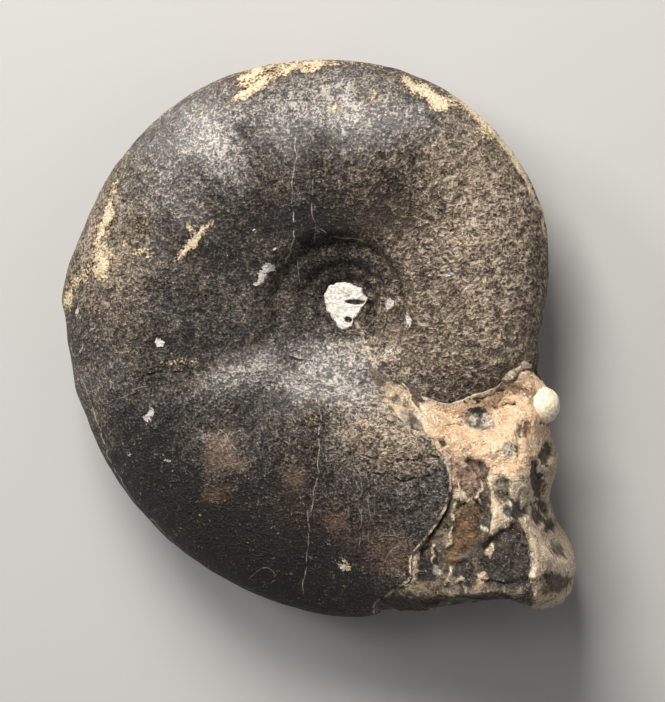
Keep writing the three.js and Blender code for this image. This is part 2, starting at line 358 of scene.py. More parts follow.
def profile_place(angle, share):
    """Radius at a share of the way from the axis (0) to the rim (1) or back (2), measured along
    the flank and round the quarter ellipse of the rim."""
    there = np.where(share > 1, 2 - share, share)
    rim, width, height = rim_radius(angle), rounding_width(angle), half_thickness(angle)
    flat = rim - width
    turn_length = 0.5 * np.pi * np.sqrt((width ** 2 + height ** 2) / 2)
    along = there * (flat + turn_length)
    turned = rim_turn(np.clip((along - flat) / turn_length, 0, 1), width, height)
    return np.where(along < flat, along, flat + width * np.sin(turned))


def shell_edge(share):
    """Angle of the edge at a share of the way along a column: found by trying an angle, taking
    the radius there, and correcting the angle, over and over."""
    angle = np.full(share.shape, FIRST_GUESS)
    for _ in range(TRIES):
        radius = profile_place(angle, share)
        unfolded = np.where(share > 1, 2 * rim_radius(angle) - radius, radius)
        angle = 0.5 * angle + 0.5 * through(SHELL_EDGE, unfolded)
    return angle


print("edge at shares 0.3 to 1.6:", shell_edge(np.array([0.3, 0.6, 0.9, 1.0, 1.3, 1.6])).round(1))

# %% [markdown]
# ## A grid of rings
# The whole surface is one closed net of rings about the axis: they start small in the navel, run out
# over the upper flank, round the rim, and close again under the stone. Outer rings are longer, so with
# the same count of points everywhere the navel would be crowded and the rim coarse. Where the count
# doubles, each point of the inner ring gets a triangle and a four-sided face instead of one face, and
# the net stays closed.
# %% Rings and the faces between them
COLUMNS = 768
EDGE_COLUMN = 672
STEP_WIDTH = 0.12


def ring_angles(share, count):
    """Angles of count points on each ring: even from the turn's start to the shell's edge, and
    even again from just past the edge to the turn's end, so that the edge is a column."""
    column = np.arange(count) * (COLUMNS // count)
    edge = shell_edge(share)[:, None]
    before = TURN_START + (edge - TURN_START) * column / EDGE_COLUMN
    past = (column - EDGE_COLUMN - 1) / (COLUMNS - EDGE_COLUMN - 1)
    after = edge + STEP_WIDTH + (TURN_END - edge - STEP_WIDTH) * past
    return np.where(column <= EDGE_COLUMN, before, after)


def ring_faces(first, count, next_first, next_count):
    """Faces from one ring to the next one along the net, as corner numbers. Equal rings give
    four-sided faces. A doubled or halved ring gives a triangle beside each four-sided face."""
    if next_count > count:
        i = np.arange(count)
        j = np.arange(count) * 2
        turn = next_first + (j + 2) % next_count
        triangles = np.stack([first + i, next_first + j, next_first + j + 1], 1)
        fours = [first + i, next_first + j + 1, turn, first + (i + 1) % count]
        return [*triangles.tolist(), *np.stack(fours, 1).tolist()]
    if next_count < count:
        i = np.arange(next_count)
        j = np.arange(next_count) * 2
        turn = first + (j + 2) % count
        triangles = np.stack([first + j, next_first + i, first + j + 1], 1)
        fours = [first + j + 1, next_first + i, next_first + (i + 1) % next_count, turn]
        return [*triangles.tolist(), *np.stack(fours, 1).tolist()]
    i = np.arange(count)
    k = (i + 1) % count
    return np.stack([first + i, next_first + i, next_first + k, first + k], 1).tolist()


print("faces between 2 points and 4:", ring_faces(0, 2, 2, 4))


# %% The whole net
def ring_net(rings):
    """Angle and share for every point of the net, and its faces: rings is a list of (share,
    count), with one more point at the axis above and below."""
    angles = [np.zeros(1)]
    shares = [np.zeros(1)]
    faces = []
    first, count = 1, rings[0][1]
    faces += [[0, first + i, first + (i + 1) % count] for i in range(count)]
    for place, (share, size) in enumerate(rings):
        angles.append(ring_angles(np.array([share]), size)[0])
        shares.append(np.full(size, share))
        if place + 1 < len(rings):
            faces += ring_faces(first, size, first + size, rings[place + 1][1])
            first += size
    last = first + rings[-1][1]
    faces += [[first + i, last, first + (i + 1) % rings[-1][1]] for i in range(rings[-1][1])]
    angles.append(np.zeros(1))
    shares.append(np.full(1, 2.0))
    return np.concatenate(angles), np.concatenate(shares), faces


def even_steps(start, stop, steps, count):
    """Rings of count points at even steps of share, from start up to but not at stop."""
    return [(share, count) for share in np.linspace(start, stop, steps, endpoint=False)]


SHELL_RINGS = [
    *even_steps(0.006, 0.027, 4, 48),
    *even_steps(0.027, 0.055, 5, 96),
    *even_steps(0.055, 0.12, 13, 192),
    *even_steps(0.12, 0.42, 46, 384),
    *even_steps(0.42, 1.0, 78, 768),
    *even_steps(1.0, 1.25, 22, 384),
    *even_steps(1.25, 1.8, 38, 192),
    *even_steps(1.8, 1.95, 9, 96),
    *even_steps(1.95, 1.995, 4, 48),
]
net_angle, net_share, net_faces = ring_net(SHELL_RINGS)
print("net points:", len(net_angle), "triangles:", sum(len(face) - 2 for face in net_faces))

# %% [markdown]
# ## Folds and growth lines
# The shell isn't smooth. Broad low folds sweep out from the navel, and between them run fine growth
# lines, each one an old edge of the growing shell. The folds are lines on the sheet. Growth lines are
# too many to draw one by one, so they come from grain that is stretched along the radius: it reads the
# direction from the axis and the logarithm of the distance, which also makes the lines widen outwards
# as growth does.
# %% Lines of the folds
GROOVES = [
    [(-10.7, 12), (-13.6, 20.1), (-18, 28.2)],
    [(-17.2, 13.6), (-22.8, 17.7), (-26.6, 22.5)],
    [(-16.4, 6), (-25.3, 9.2), (-32.6, 12.8), (-39.9, 13.6)],
    [(-24.5, 0.6), (-31.8, 1.8)],
    [(-17.2, -4.7), (-22.8, -5.8), (-33.4, -7)],
    [(-5.8, 15.2), (-5.8, 21.7), (-6.2, 27.4)],
    [(4.7, 19.3), (6.6, 22.2), (8.7, 25.8)],
    [(-13.1, -12.3), (-17.2, -15.6), (-21.2, -18.8)],
    [(-5.8, -18), (-6.5, -21.2), (-6.8, -27.7)],
    [(-26.1, -10.4), (-32.6, -12.5)],
]
RIDGES = [
    [(-13.9, -6.6), (-22.8, -7.6), (-30.9, -8.6), (-43.1, -12.3)],
    [(-13.9, -9.1), (-18.8, -10.9), (-23.7, -12.3), (-32.6, -14.7)],
    [(-19.6, 20.9), (-22.8, 25.8), (-24.5, 29.8)],
    [(-1, 30.6), (-1.8, 34.7)],
    [(7.1, 9.6), (13.6, 10.7), (18.5, 12)],
]
FOLD_REACH = 2.6
GROOVE_DEPTH = 0.5
RIDGE_HEIGHT = 0.42
COARSE_SPOTS = [
    (20, 12, 16, 20, 0, 1.0), (19, -4, 14, 11, 0, 1.0), (6, -21, 9, 5, 0, 0.8),
    (-42, 10, 8, 10, 0, 0.5), (2, 20, 8, 8, 0, 0.4),
]
print("grooves and ridges:", len(GROOVES), len(RIDGES))


# %% Relief of the shell
AXIS_CLEAR = 0.5
SWELL_HEIGHT = 0.13
SWELL_SIZE = 9
GRAIN_HEIGHT = 0.035
GRAIN_SIZE = 1.9
COARSE_HEIGHT = 0.09
COARSE_SIZE = 1.3
FINE_LINE_HEIGHT = 0.04
BROAD_LINE_HEIGHT = 0.06
LINES_FROM = 4
LINES_OVER = 16


def radial_grain(points, fine, stretch, seed):
    """Grain drawn out along the radius: the lattice runs over the direction from the axis, times
    fine, and over the logarithm of the distance, times stretch."""
    radius = np.maximum(np.hypot(points[:, 0], points[:, 1]), AXIS_CLEAR)
    around = np.stack([
        points[:, 0] / radius * fine,
        points[:, 1] / radius * fine,
        np.log(radius) * stretch + points[:, 2] * 0.1,
    ], axis=1)
    return grain(around, 1.0, seed)


def coarseness(points):
    """Where the skin is weathered coarse, 0 to 1: the sum of the coarse spots."""
    return np.clip(spread_of(COARSE_SPOTS, *on_sheet(points)), 0, 1)


def folds(points):
    """How far a point is down in the grooves, and how far it is up on the ridges: for each line
    exp(-(distance / reach) squared), added up."""
    u, v = on_sheet(points)
    return [
        sum(np.exp(-(line_distance(u, v, line) / FOLD_REACH) ** 2) for line in lines)
        for lines in (GROOVES, RIDGES)
    ]


def shell_relief(points):
    """Relief along the surface's own normal: swells and grain, radial growth lines that fade
    towards the axis, then the grooves pressed in and the ridges raised."""
    coarse = coarseness(points)
    out = smooth((np.hypot(points[:, 0], points[:, 1]) - LINES_FROM) / LINES_OVER)
    relief = SWELL_HEIGHT * rough(points, SWELL_SIZE, 11)
    relief += GRAIN_HEIGHT * rough(points, GRAIN_SIZE, 21)
    relief += COARSE_HEIGHT * coarse * rough(points, COARSE_SIZE, 22)
    relief += FINE_LINE_HEIGHT * radial_grain(points, 30, 7, 31) * out * (1 + coarse)
    relief += BROAD_LINE_HEIGHT * radial_grain(points, 11, 3.5, 32) * out
    down, up = folds(points)
    return relief - GROOVE_DEPTH * down + RIDGE_HEIGHT * up


grooved, ridged = folds(np.array([[0.0, 20, 5]]))
print("grooves and ridges 20 mm above the axis:", grooved.round(2), ridged.round(2))

# %% [markdown]
# ## The shell in one piece
# The net is laid on the coil, and where the shell is lost it drops just under the broken end, which is
# a piece of its own. A displace modifier could add the relief, but it moves along normals that change
# as it moves. So the smooth net becomes a mesh first, gives its normals, and is then moved along them.
# %% The coil under the net
SUNK = 0.16
RIM_STANDS_AT = 326
DIVE = 3.0
FADE = 7.0
DRAWN_FROM = 12
DRAWN_OVER = 25
SHARP_SHELL = 55
TURN_BEFORE = [
    (2.3, -10.2), (4.4, -11.8), (6.5, -11.5), (7.8, -12.2), (8.7, -13.6), (9.7, -14.7),
    (11, -15.1), (12.5, -15.6), (13.8, -16), (15.2, -16.2), (16.8, -15.6), (19.3, -14.7),
    (21.4, -14.1), (23.7, -13), (25.6, -11.3), (27.2, -9.7), (28.2, -7.6), (29.2, -5.8),
    (33, -5), (33, 11), (-2.6, 11), (-2.6, -5),
]


def coil_points(angle, share):
    """Points of the net about the axis: radius and height on the coil. Past the shell's edge the
    rim is drawn in, less and less so towards the turn's end, and the surface lies 3 mm lower, under
    the filling; but the turn before still stands where the filling doesn't reach."""
    radius = profile_place(angle, share)
    height = flank_height(angle, radius)
    lost = angle > shell_edge(share) + 0.5 * STEP_WIDTH
    drawn = np.where(lost, SUNK * (1 - smooth((angle - RIM_STANDS_AT) / (TURN_END - RIM_STANDS_AT))), 0)
    radius = radius * (1 - drawn * np.clip((radius - DRAWN_FROM) / DRAWN_OVER, 0, 1))
    turned = np.radians(angle)
    x, y = radius * np.cos(turned), radius * np.sin(turned)
    before = flank_height(angle - 360, radius, WHORLS - 1)
    under = -depth_inside(*on_sheet(np.stack([x, y, before], axis=1)), TURN_BEFORE)
    dive = DIVE * smooth(under / DIVE) * (1 - smooth((angle - TURN_END + FADE) / FADE))
    lowered = np.minimum(height * (1 - drawn), flank_height(angle, radius) - dive)
    standing = np.where(radius < rim_radius(angle - 360), before - dive, 0)
    height = np.where(lost, np.maximum(np.maximum(lowered, standing), 0), height)
    side = np.where(share > 1, -1, 1)
    return np.stack([x, y, side * height], axis=1)


print("net at the axis, height in mm:", coil_points(np.zeros(1), np.zeros(1))[0, 2].round(2))


# %% Shell mesh
def new_mesh(name, points, faces):
    """A Blender mesh object from points in metres and faces as corner numbers, shaded smooth."""
    mesh = bpy.data.meshes.new(name)
    mesh.from_pydata(points.tolist(), [], faces)
    mesh.shade_smooth()
    piece = bpy.data.objects.new(name, mesh)
    bpy.context.scene.collection.objects.link(piece)
    return piece


def normals_of(piece):
    """The mesh's own normal at each point, as rows."""
    found = np.zeros(len(piece.data.vertices) * 3, np.float32)
    piece.data.vertex_normals.foreach_get("vector", found)
    return found.reshape(-1, 3).astype(float)


def move_points(piece, points):
    """Gives every point of the mesh a new place, in metres."""
    piece.data.vertices.foreach_set("co", points.astype(np.float32).ravel())
    piece.data.update()


def paint(piece, name, values):
    """Stores one number or one colour for each point of the mesh under that name."""
    if values.ndim == 2:
        rgba = np.hstack([values, np.ones((len(values), 1))])
        layer = piece.data.attributes.new(name, "FLOAT_COLOR", "POINT")
        layer.data.foreach_set("color", rgba.astype(np.float32).ravel())
    else:
        layer = piece.data.attributes.new(name, "FLOAT", "POINT")
        layer.data.foreach_set("value", values.astype(np.float32))


shell_smooth = coil_points(net_angle, net_share)
shell = new_mesh("ammonite_shell", shell_smooth, net_faces)
shell_out = normals_of(shell)
shell_rise = shell_relief(shell_smooth)
shell_coil = shell_smooth + shell_out * shell_rise[:, None]
move_points(shell, laid(shell_coil))
shell.data.set_sharp_from_angle(angle=np.radians(SHARP_SHELL))
print("shell relief, lowest and highest, mm:", shell_rise.min().round(2), shell_rise.max().round(2))

# %% [markdown]
# ## The broken end
# Where the shell came away, the filling of the last chambers shows: pale mud that set hard, brown and
# orange crystal, and the thin walls between chambers as cream lines. It is a piece of its own, so that
# its net can be fine. One closed profile is carried along the coil: it starts under the turn before,
# runs out over the filling, down the broken face, and back under the stone.
# %% Profile of the broken end
UNDER_SEAM = 3.0
LEVEL_FROM = 28.5
LEAST_FACE = 6
WIDE_WALL = 8
SLOPE_AT = 307
SLOPE_SPREAD = 6
SLOPE_WIDER = 0.8


def filling_top(angle, radius):
    """Height of the face: the turn below, taken as level from 28.5 mm outwards, plus this turn's
    share of the step up to its own height."""
    below = flank_height(angle - 360, np.minimum(radius, LEVEL_FROM), WHORLS - 1)
    return below + (half_thickness(angle) - below) * rise_share(angle, radius)


def filling_profile(angle, row):
    """Radius and height at a profile place: on the face even steps of radius, on the wall an
    ellipse that bulges at mid height, with even steps of height where it is narrow, and even
    turns, height = cos(turn), where it is wide. Round 307 degrees the face slopes off wider."""
    rim = rim_radius(angle)
    wider = SLOPE_WIDER * np.exp(-((angle - SLOPE_AT) / SLOPE_SPREAD) ** 2)
    width = rounding_width(angle) * (1 + wider)
    flat = rim - width
    inner = np.minimum(seam_radius(angle) - UNDER_SEAM, flat - LEAST_FACE)
    top = filling_top(angle, flat)
    face = np.clip(row, 0, 1)
    beneath = np.clip(3 - row, 0, 1)
    radius = inner + (flat - inner) * np.minimum(face, beneath)
    height = np.where(row < 1.5, 1, -1) * filling_top(angle, radius)
    down = np.clip(row - 1, 0, 1)
    turning = np.clip(width / WIDE_WALL, 0, 1)
    level = (1 - 2 * down) * (1 - turning) + np.cos(np.pi * down) * turning
    on_wall = (row >= 1) & (row <= 2)
    bulge = flat + width * np.sqrt(np.clip(1 - level ** 2, 0, 1))
    return np.where(on_wall, bulge, radius), np.where(on_wall, level * top, height)


print("top of the wall at 290 degrees, mm:", filling_profile(290.0, 1.0)[1].round(2))

# %% Net of the broken end
FILLING_COLUMNS = 300
FACE_ROWS = 150
WALL_ROWS = 80
UNDER_ROWS = 36
FILLING_END = 350.0
UNDER_SHELL = 3.5
FILLING_GUESS = 285.0


def filling_net():
    """Angles and profile places of the net: rows run out over the face (0 to 1), down the wall
    (1 to 2) and back beneath (2 to 3); columns run from under the shell's edge to the end."""
    rows = np.r_[
        np.linspace(0, 1, FACE_ROWS, endpoint=False),
        np.linspace(1, 2, WALL_ROWS, endpoint=False),
        np.linspace(2, 3, UNDER_ROWS),
    ]
    start = np.full(rows.shape, FILLING_GUESS)
    for _ in range(TRIES):
        radius = filling_profile(start, rows)[0]
        rim = rim_radius(start)
        unfolded = np.where(rows > 1.5, 2 * rim - radius, radius)
        start = 0.5 * start + 0.5 * (through(SHELL_EDGE, unfolded) - UNDER_SHELL)
    share = np.linspace(0, 1, FILLING_COLUMNS)[:, None]
    angle = start + (FILLING_END - start) * share
    return angle, np.broadcast_to(rows, angle.shape)


filling_angle, filling_row = filling_net()
filling_radius, filling_height = filling_profile(filling_angle, filling_row)
filling_turned = np.radians(filling_angle)
filling_smooth = np.stack([
    filling_radius * np.cos(filling_turned),
    filling_radius * np.sin(filling_turned),
    filling_height,
], axis=2)
print("filling net, columns x rows:", filling_angle.shape)

# %% [markdown]
# The profile is closed, so its two ends are open holes. They lie under the stone, but an open mesh is
# no solid, so each end gets one more point in its middle and a fan of triangles round it.
# %% Faces of a swept profile
def swept_faces(columns, rows):
    """Faces of a closed profile carried along: four-sided between columns, the last row joined
    back to the first, and a fan at each end round one more point in the end's middle."""
    i = np.arange(columns - 1)[:, None]
    j = np.arange(rows)[None, :]
    k = (j + 1) % rows
    sides = np.stack([i * rows + j, i * rows + k, (i + 1) * rows + k, (i + 1) * rows + j], 2)
    first, last = columns * rows, columns * rows + 1
    ring = np.arange(rows)
    after = (ring + 1) % rows
    near = np.stack([ring, np.full(rows, first), after], 1)
    far = (columns - 1) * rows
    away = np.stack([far + ring, far + after, np.full(rows, last)], 1)
    return [*sides.reshape(-1, 4).tolist(), *near.tolist(), *away.tolist()]


def swept_points(grid):
    """The net's points one after another, then the middle of the first and the last profile."""
    return np.vstack([grid.reshape(-1, 3), grid[0].mean(0), grid[-1].mean(0)])


filling_faces = swept_faces(*filling_angle.shape)
print("filling triangles:", sum(len(face) - 2 for face in filling_faces))

# %% [markdown]
# ## What shows in the broken end
# Mud, crystal and the thin walls between chambers each fill an area of their own. A noise texture
# would give chambers, but not these. So each chamber or patch is an outline on the slanted sheet, with
# the name of its stone, its depth under the old skin, and how much it bulges in its middle. Later
# patches lie over earlier ones. Walls and cracks are lines, with a half width and a height.
# %% Patches of the soft rock
SOFT_ROCK = [
    ("grit", -0.4, 0.3, [  # whole end face
        (23.3, -26.1), (26.6, -26.4), (30.6, -23.7), (31.8, -19.6), (33, -19.6), (33.4, -27.7),
        (34, -31.8), (37.1, -38.2), (37.3, -43.9), (33, -48), (28.2, -48.1), (29.2, -45.5),
        (28.7, -43.1), (29, -40.7), (28.2, -38.2), (26.6, -35.8), (24.6, -34.2), (24.3, -31.8),
        (25.3, -29.3)
    ]),
    ("umber", -1.1, 0.2, [  # all chambers
        (14, -31.2), (16.5, -30.9), (19.8, -31.6), (21.2, -33.4), (21.7, -36.9), (24, -35.8),
        (26.2, -34.4), (28.2, -38.6), (28.5, -43), (28.3, -45.6), (20, -46.2), (13.4, -46.2),
        (9.6, -44.6), (9.8, -39.3), (12.2, -36), (13.6, -33.6)
    ]),
    ("peach", -0.5, 0.15, [  # soft rock beside the shell
        (10.7, -16), (12, -15.4), (13.1, -15.2), (15.2, -16), (17.5, -15.4), (20.1, -14.4),
        (23.3, -13.4), (25.8, -11.2), (27.7, -9.2), (29, -9.2), (30.6, -11.5), (33.4, -14.7),
        (32.4, -18.8), (31.1, -21.2), (29.5, -23.7), (28.5, -25.1), (27.2, -26.7), (25.4, -26.9),
        (24.1, -27.4), (23.3, -26.4), (22.4, -27.4), (21.5, -26.7), (20.1, -24.8), (18.5, -24.5),
        (17.2, -25.1), (16, -24.1), (14.6, -23.2), (13.1, -22.4), (12.6, -20.9), (11.7, -19.3)
    ]),
    ("drab", -0.3, 0, [  # left of tongue
        (-1, -7), (4, -8), (7.4, -11), (9.4, -12.8), (11.4, -15), (10.2, -16), (8.4, -14),
        (6.8, -12), (5.2, -11.6), (4, -13.6), (2.6, -13), (0.4, -10.4)
    ]),
    ("tan", -0.2, 0.3, [  # tongue
        (5.2, -12), (6.5, -11.8), (7.6, -12.8), (8.6, -14.4), (9.4, -16.4), (10.4, -18), (11, -19.6),
        (9.4, -19.8), (7.9, -18.6), (6.5, -16.8), (5.2, -15.4), (4.5, -14.3), (4.4, -13)
    ]),
    ("clay", -0.5, 0.1, [  # tongue low
        (7.8, -16), (9.4, -16.4), (10.4, -18), (11, -19.6), (9.4, -19.8), (7.9, -18.6), (7.1, -17.5)
    ]),
    ("umber", -0.7, 0.1, [  # under tongue
        (8.3, -12.6), (9.2, -13.4), (10.4, -14.7), (10.4, -15.4), (10.5, -16.8), (11.2, -18),
        (10.4, -16.7), (9.4, -15.1)
    ]),
    ("cream", -0.2, 0.1, [  # strip
        (10.5, -15.4), (12.3, -15.4), (13.1, -16.5), (13, -17.8), (11.7, -18.1), (10.5, -16.8)
    ]),
    ("ash", -0.6, 0, [  # grey patch
        (17.3, -17), (20.1, -16.2), (22.2, -16.8), (22.2, -19.1), (20.1, -19.3), (17.8, -18.6)
    ]),
    ("slate", -1.2, 0, [  # pit
        (13.3, -21.2), (14.6, -21.1), (14.9, -22.2), (13.8, -22.4)
    ]),
    ("olive", -1, 0.2, [  # upper hollow
        (25.6, -18.5), (26.4, -18.1), (27.1, -19.1), (26.9, -20.7), (25.9, -20.9), (25.4, -19.8)
    ]),
    ("olive", -1.1, 0, [  # lower hollow
        (25.4, -21.4), (26.4, -21.5), (26.9, -22.8), (26.2, -24.3), (25.6, -23.2)
    ]),
    ("ash", -0.3, 0.1, [  # pale spot between hollows
        (24, -21.5), (25.1, -21.5), (25.4, -23.7), (24.3, -24.1), (23.7, -22.8)
    ]),
    ("amber", -0.5, 0, [  # orange stain
        (27.2, -18), (28.5, -18.3), (28.4, -20.2), (27.7, -20.9), (27.1, -19.6)
    ]),
]
print("patches of the soft rock:", len(SOFT_ROCK))

# %% Patches of the chambers
CHAMBERS = [
    ("rose", -0.9, 0.3, [  # rose band
        (14.3, -22.8), (15.6, -23.7), (16.8, -24.3), (17.2, -25.3), (16.8, -27.4), (16.5, -29.6),
        (15.7, -30.6), (15.2, -29), (15.2, -26.1)
    ]),
    ("umber", -1.3, 0.1, [  # brown streak
        (17.2, -24.8), (18.1, -24.1), (20.4, -24.3), (21.4, -25.8), (21.4, -27.4), (20.2, -27.7),
        (20.1, -25.4), (17.8, -25.1)
    ]),
    ("dusk", -1.5, 0.6, [  # dusky chamber
        (17, -26.1), (17.8, -25.1), (20.1, -25.4), (20.4, -27.4), (19.9, -29.3), (18.8, -30.8),
        (17.8, -30.8), (17, -29.6), (16.7, -27.7)
    ]),
    ("umber", -1.3, 0.3, [  # red-brown chamber
        (20.1, -28.4), (21.4, -27.4), (21.9, -29), (22, -31.9), (21.2, -33.2), (20.1, -31.9),
        (19.6, -30.3)
    ]),
    ("cream", -0.5, 0.3, [  # pale column
        (21.4, -26.7), (22.7, -27.4), (22.7, -29.6), (23.3, -31.3), (24, -32.2), (23.8, -35.8),
        (22, -36.3), (21.7, -36.9), (22, -34.2), (21.9, -30.9), (21.4, -29)
    ]),
    ("moss", -1, 0.3, [  # left wall
        (14.6, -30.9), (15.6, -30.6), (16.5, -30.9), (15.9, -32.9), (15.4, -35.8), (15.2, -38.7),
        (14.7, -41), (14.6, -45.2), (13.3, -45.5), (12, -44.6), (12, -38.7), (11.7, -37.4), (13, -35.5),
        (13.9, -33.5)
    ]),
    ("ochre", -1.6, 0.7, [  # orange chamber
        (16.2, -33.2), (16.8, -31.9), (17.8, -31.1), (18.8, -31.1), (19.8, -31.9), (20.4, -33.2),
        (20.4, -35.8), (19.8, -38.1), (17.8, -39.4), (16.2, -38.7), (15.6, -36.6), (15.7, -34.5)
    ]),
    ("drab", -1.5, 0.3, [  # stone below it
        (15.6, -38.4), (17.8, -39.4), (19.8, -38.1), (20.7, -38.7), (20.1, -40.7), (20.1, -42.9),
        (19.4, -44.9), (18.1, -46.2), (14.9, -45.8), (14.7, -43.1), (15.2, -40.7)
    ]),
    ("soot", -1.9, 0.2, [  # dark hollow, low left
        (10, -39.4), (11.7, -38.2), (13, -39.4), (13.6, -41.6), (13.3, -43.6), (12, -44.6),
        (9.7, -44.2), (9.7, -41.6)
    ]),
    ("umber", -1.4, 0.3, [  # brown crystal in it
        (11, -38.9), (12.2, -39), (12.3, -40.5), (11.3, -40.8), (10.5, -40)
    ]),
    ("ash", -1.3, 0.2, [  # pale crystal in it
        (12.3, -41.3), (13.1, -41.5), (13.6, -42.9), (12.8, -43.6), (12.2, -42.6)
    ]),
    ("ochre", -1.4, 0.3, [  # orange crystal
        (14.6, -38.7), (16.5, -38.7), (16.8, -40.7), (16, -42), (14.9, -41.6)
    ]),
    ("soot", -2, 0.1, [  # dark hollow, low middle
        (16, -41), (17.5, -40.7), (18.8, -41.6), (19, -43.9), (18.5, -46.2), (17.2, -45.8), (16, -44.2)
    ]),
    ("slate", -1.5, 0.1, [  # dark slot
        (20.2, -32.1), (21.7, -32.6), (22, -35), (21.4, -36.5), (20.2, -36.1)
    ]),
    ("soot", -2.2, 0.7, [  # largest hollow
        (20.6, -38.7), (22, -37.4), (23.8, -36), (25.3, -35.2), (26.4, -36.5), (26.6, -38.2),
        (28.2, -38.9), (28.4, -40.7), (27.9, -42.9), (28.7, -44.2), (27.4, -45.2), (25.4, -45.8),
        (22.7, -45.7), (20.7, -45), (20.1, -42.3), (20.2, -40.3)
    ]),
    ("sand", -1.6, 0.3, [  # tan lump
        (20.7, -38.1), (22, -37.6), (22.2, -39.4), (21.4, -40.5), (20.6, -40)
    ]),
    ("sand", -1.3, 0.3, [  # lower tan lump
        (19.6, -42.9), (20.7, -42.8), (21.1, -44.2), (20.2, -44.9), (19.4, -44.4)
    ]),
    ("flint", -1.4, 0.5, [  # lens of grey crystal
        (23, -27.4), (24, -27.4), (24.8, -28.4), (25.4, -29.8), (25.9, -30.8), (25.1, -31.4),
        (23.3, -30.9), (22.5, -29.6), (22.5, -28.2)
    ]),
    ("slate", -1.4, 0, [  # shadow under the lens
        (24, -31.6), (25.9, -30.9), (27.9, -31.9), (28.4, -33.2), (26.6, -34), (24.6, -33.7),
        (23.8, -32.7)
    ]),
    # The base rim and the two ledges below get dark stone, partly as painted shade at the foot of the
    # broken end.
    ("drab", -0.3, 0.3, [  # base rim
        (13.6, -45.4), (16, -45.9), (18.5, -45.6), (21.1, -45.4), (24.1, -45.7), (26.2, -45.2),
        (28.4, -45.2), (29, -46.8), (26.2, -47.1), (20.1, -47.3), (16, -47.3), (13.6, -47)
    ]),
    ("moss", -0.35, 0.2, [  # ledge top
        (6.6, -45.2), (9, -44), (11.4, -44.7), (14, -45.7), (14.4, -46.6), (12, -46.5), (9.1, -46.3)
    ]),
    ("moss", -0.2, 0.2, [  # ledge
        (3.2, -47.6), (6.3, -46.2), (9.1, -45.7), (12, -46), (13.6, -46.5), (13.6, -48.1),
        (10.4, -49.1), (7.1, -48.9)
    ]),
    ("soot", -1.3, 0, [  # slot
        (18.5, -16), (19.8, -15.9), (21.1, -16.2), (20.7, -16.8), (19.1, -16.8), (18.1, -16.5)
    ]),
]
print("patches of the chambers:", len(CHAMBERS))

# %% Patches of the side
SIDE = [
    ("umber", -1.3, 0, [  # side slit
        (28.7, -24.6), (29.5, -24.5), (30.5, -25.8), (30.8, -28), (30.5, -30.6), (29.2, -30.6),
        (28.5, -27.7)
    ]),
    ("umber", -0.9, 0, [  # side dark
        (30, -21.9), (31.1, -21.2), (32.1, -21.9), (31.8, -23.7), (31.3, -25.8), (30.6, -25.4),
        (30.1, -23.8)
    ]),
    ("sand", -0.1, 0.3, [  # side pale
        (31.9, -22.5), (32.7, -22.8), (32.6, -24.8), (31.9, -27.4), (31.3, -27.7), (31.4, -25.4)
    ]),
    ("sand", -0.1, 0.2, [  # far edge
        (30.9, -27.7), (31.6, -27.7), (31.8, -30.6), (33, -32.6), (34.2, -34.5), (33, -34.5),
        (31.8, -32.2), (30.9, -30.6)
    ]),
    # Pale patch at the right edge: partly painted highlight where the broken face catches the light.
    ("cream", -0.3, 0.3, [  # side bright
        (32.6, -34.2), (33.5, -34.2), (34.7, -36.6), (35.3, -38.2), (34, -38.7), (32.9, -36.6)
    ]),
    ("soot", -0.7, 0, [  # side blot
        (30.7, -33.7), (31.9, -33.6), (32.6, -35.1), (31.9, -36.2), (30.9, -35.7)
    ]),
    ("umber", -0.7, 0, [  # side brown
        (28.7, -31.4), (30.3, -30.6), (30.9, -32.8), (30.2, -34.6), (29.2, -35.6), (28.5, -33.4)
    ]),
    ("drab", -0.4, 0.2, [  # side low
        (29.8, -43.4), (31.6, -42.7), (34.2, -43.2), (35.6, -43.4), (33.4, -46), (30.3, -46.4)
    ]),
    ("moss", -0.4, 0.2, [  # side middle
        (31.7, -37.6), (33.2, -38.3), (33.9, -40.3), (32.6, -40.6), (31.3, -39.2)
    ]),
]
PATCHES = SOFT_ROCK + CHAMBERS + SIDE
print("patches in all:", len(PATCHES))

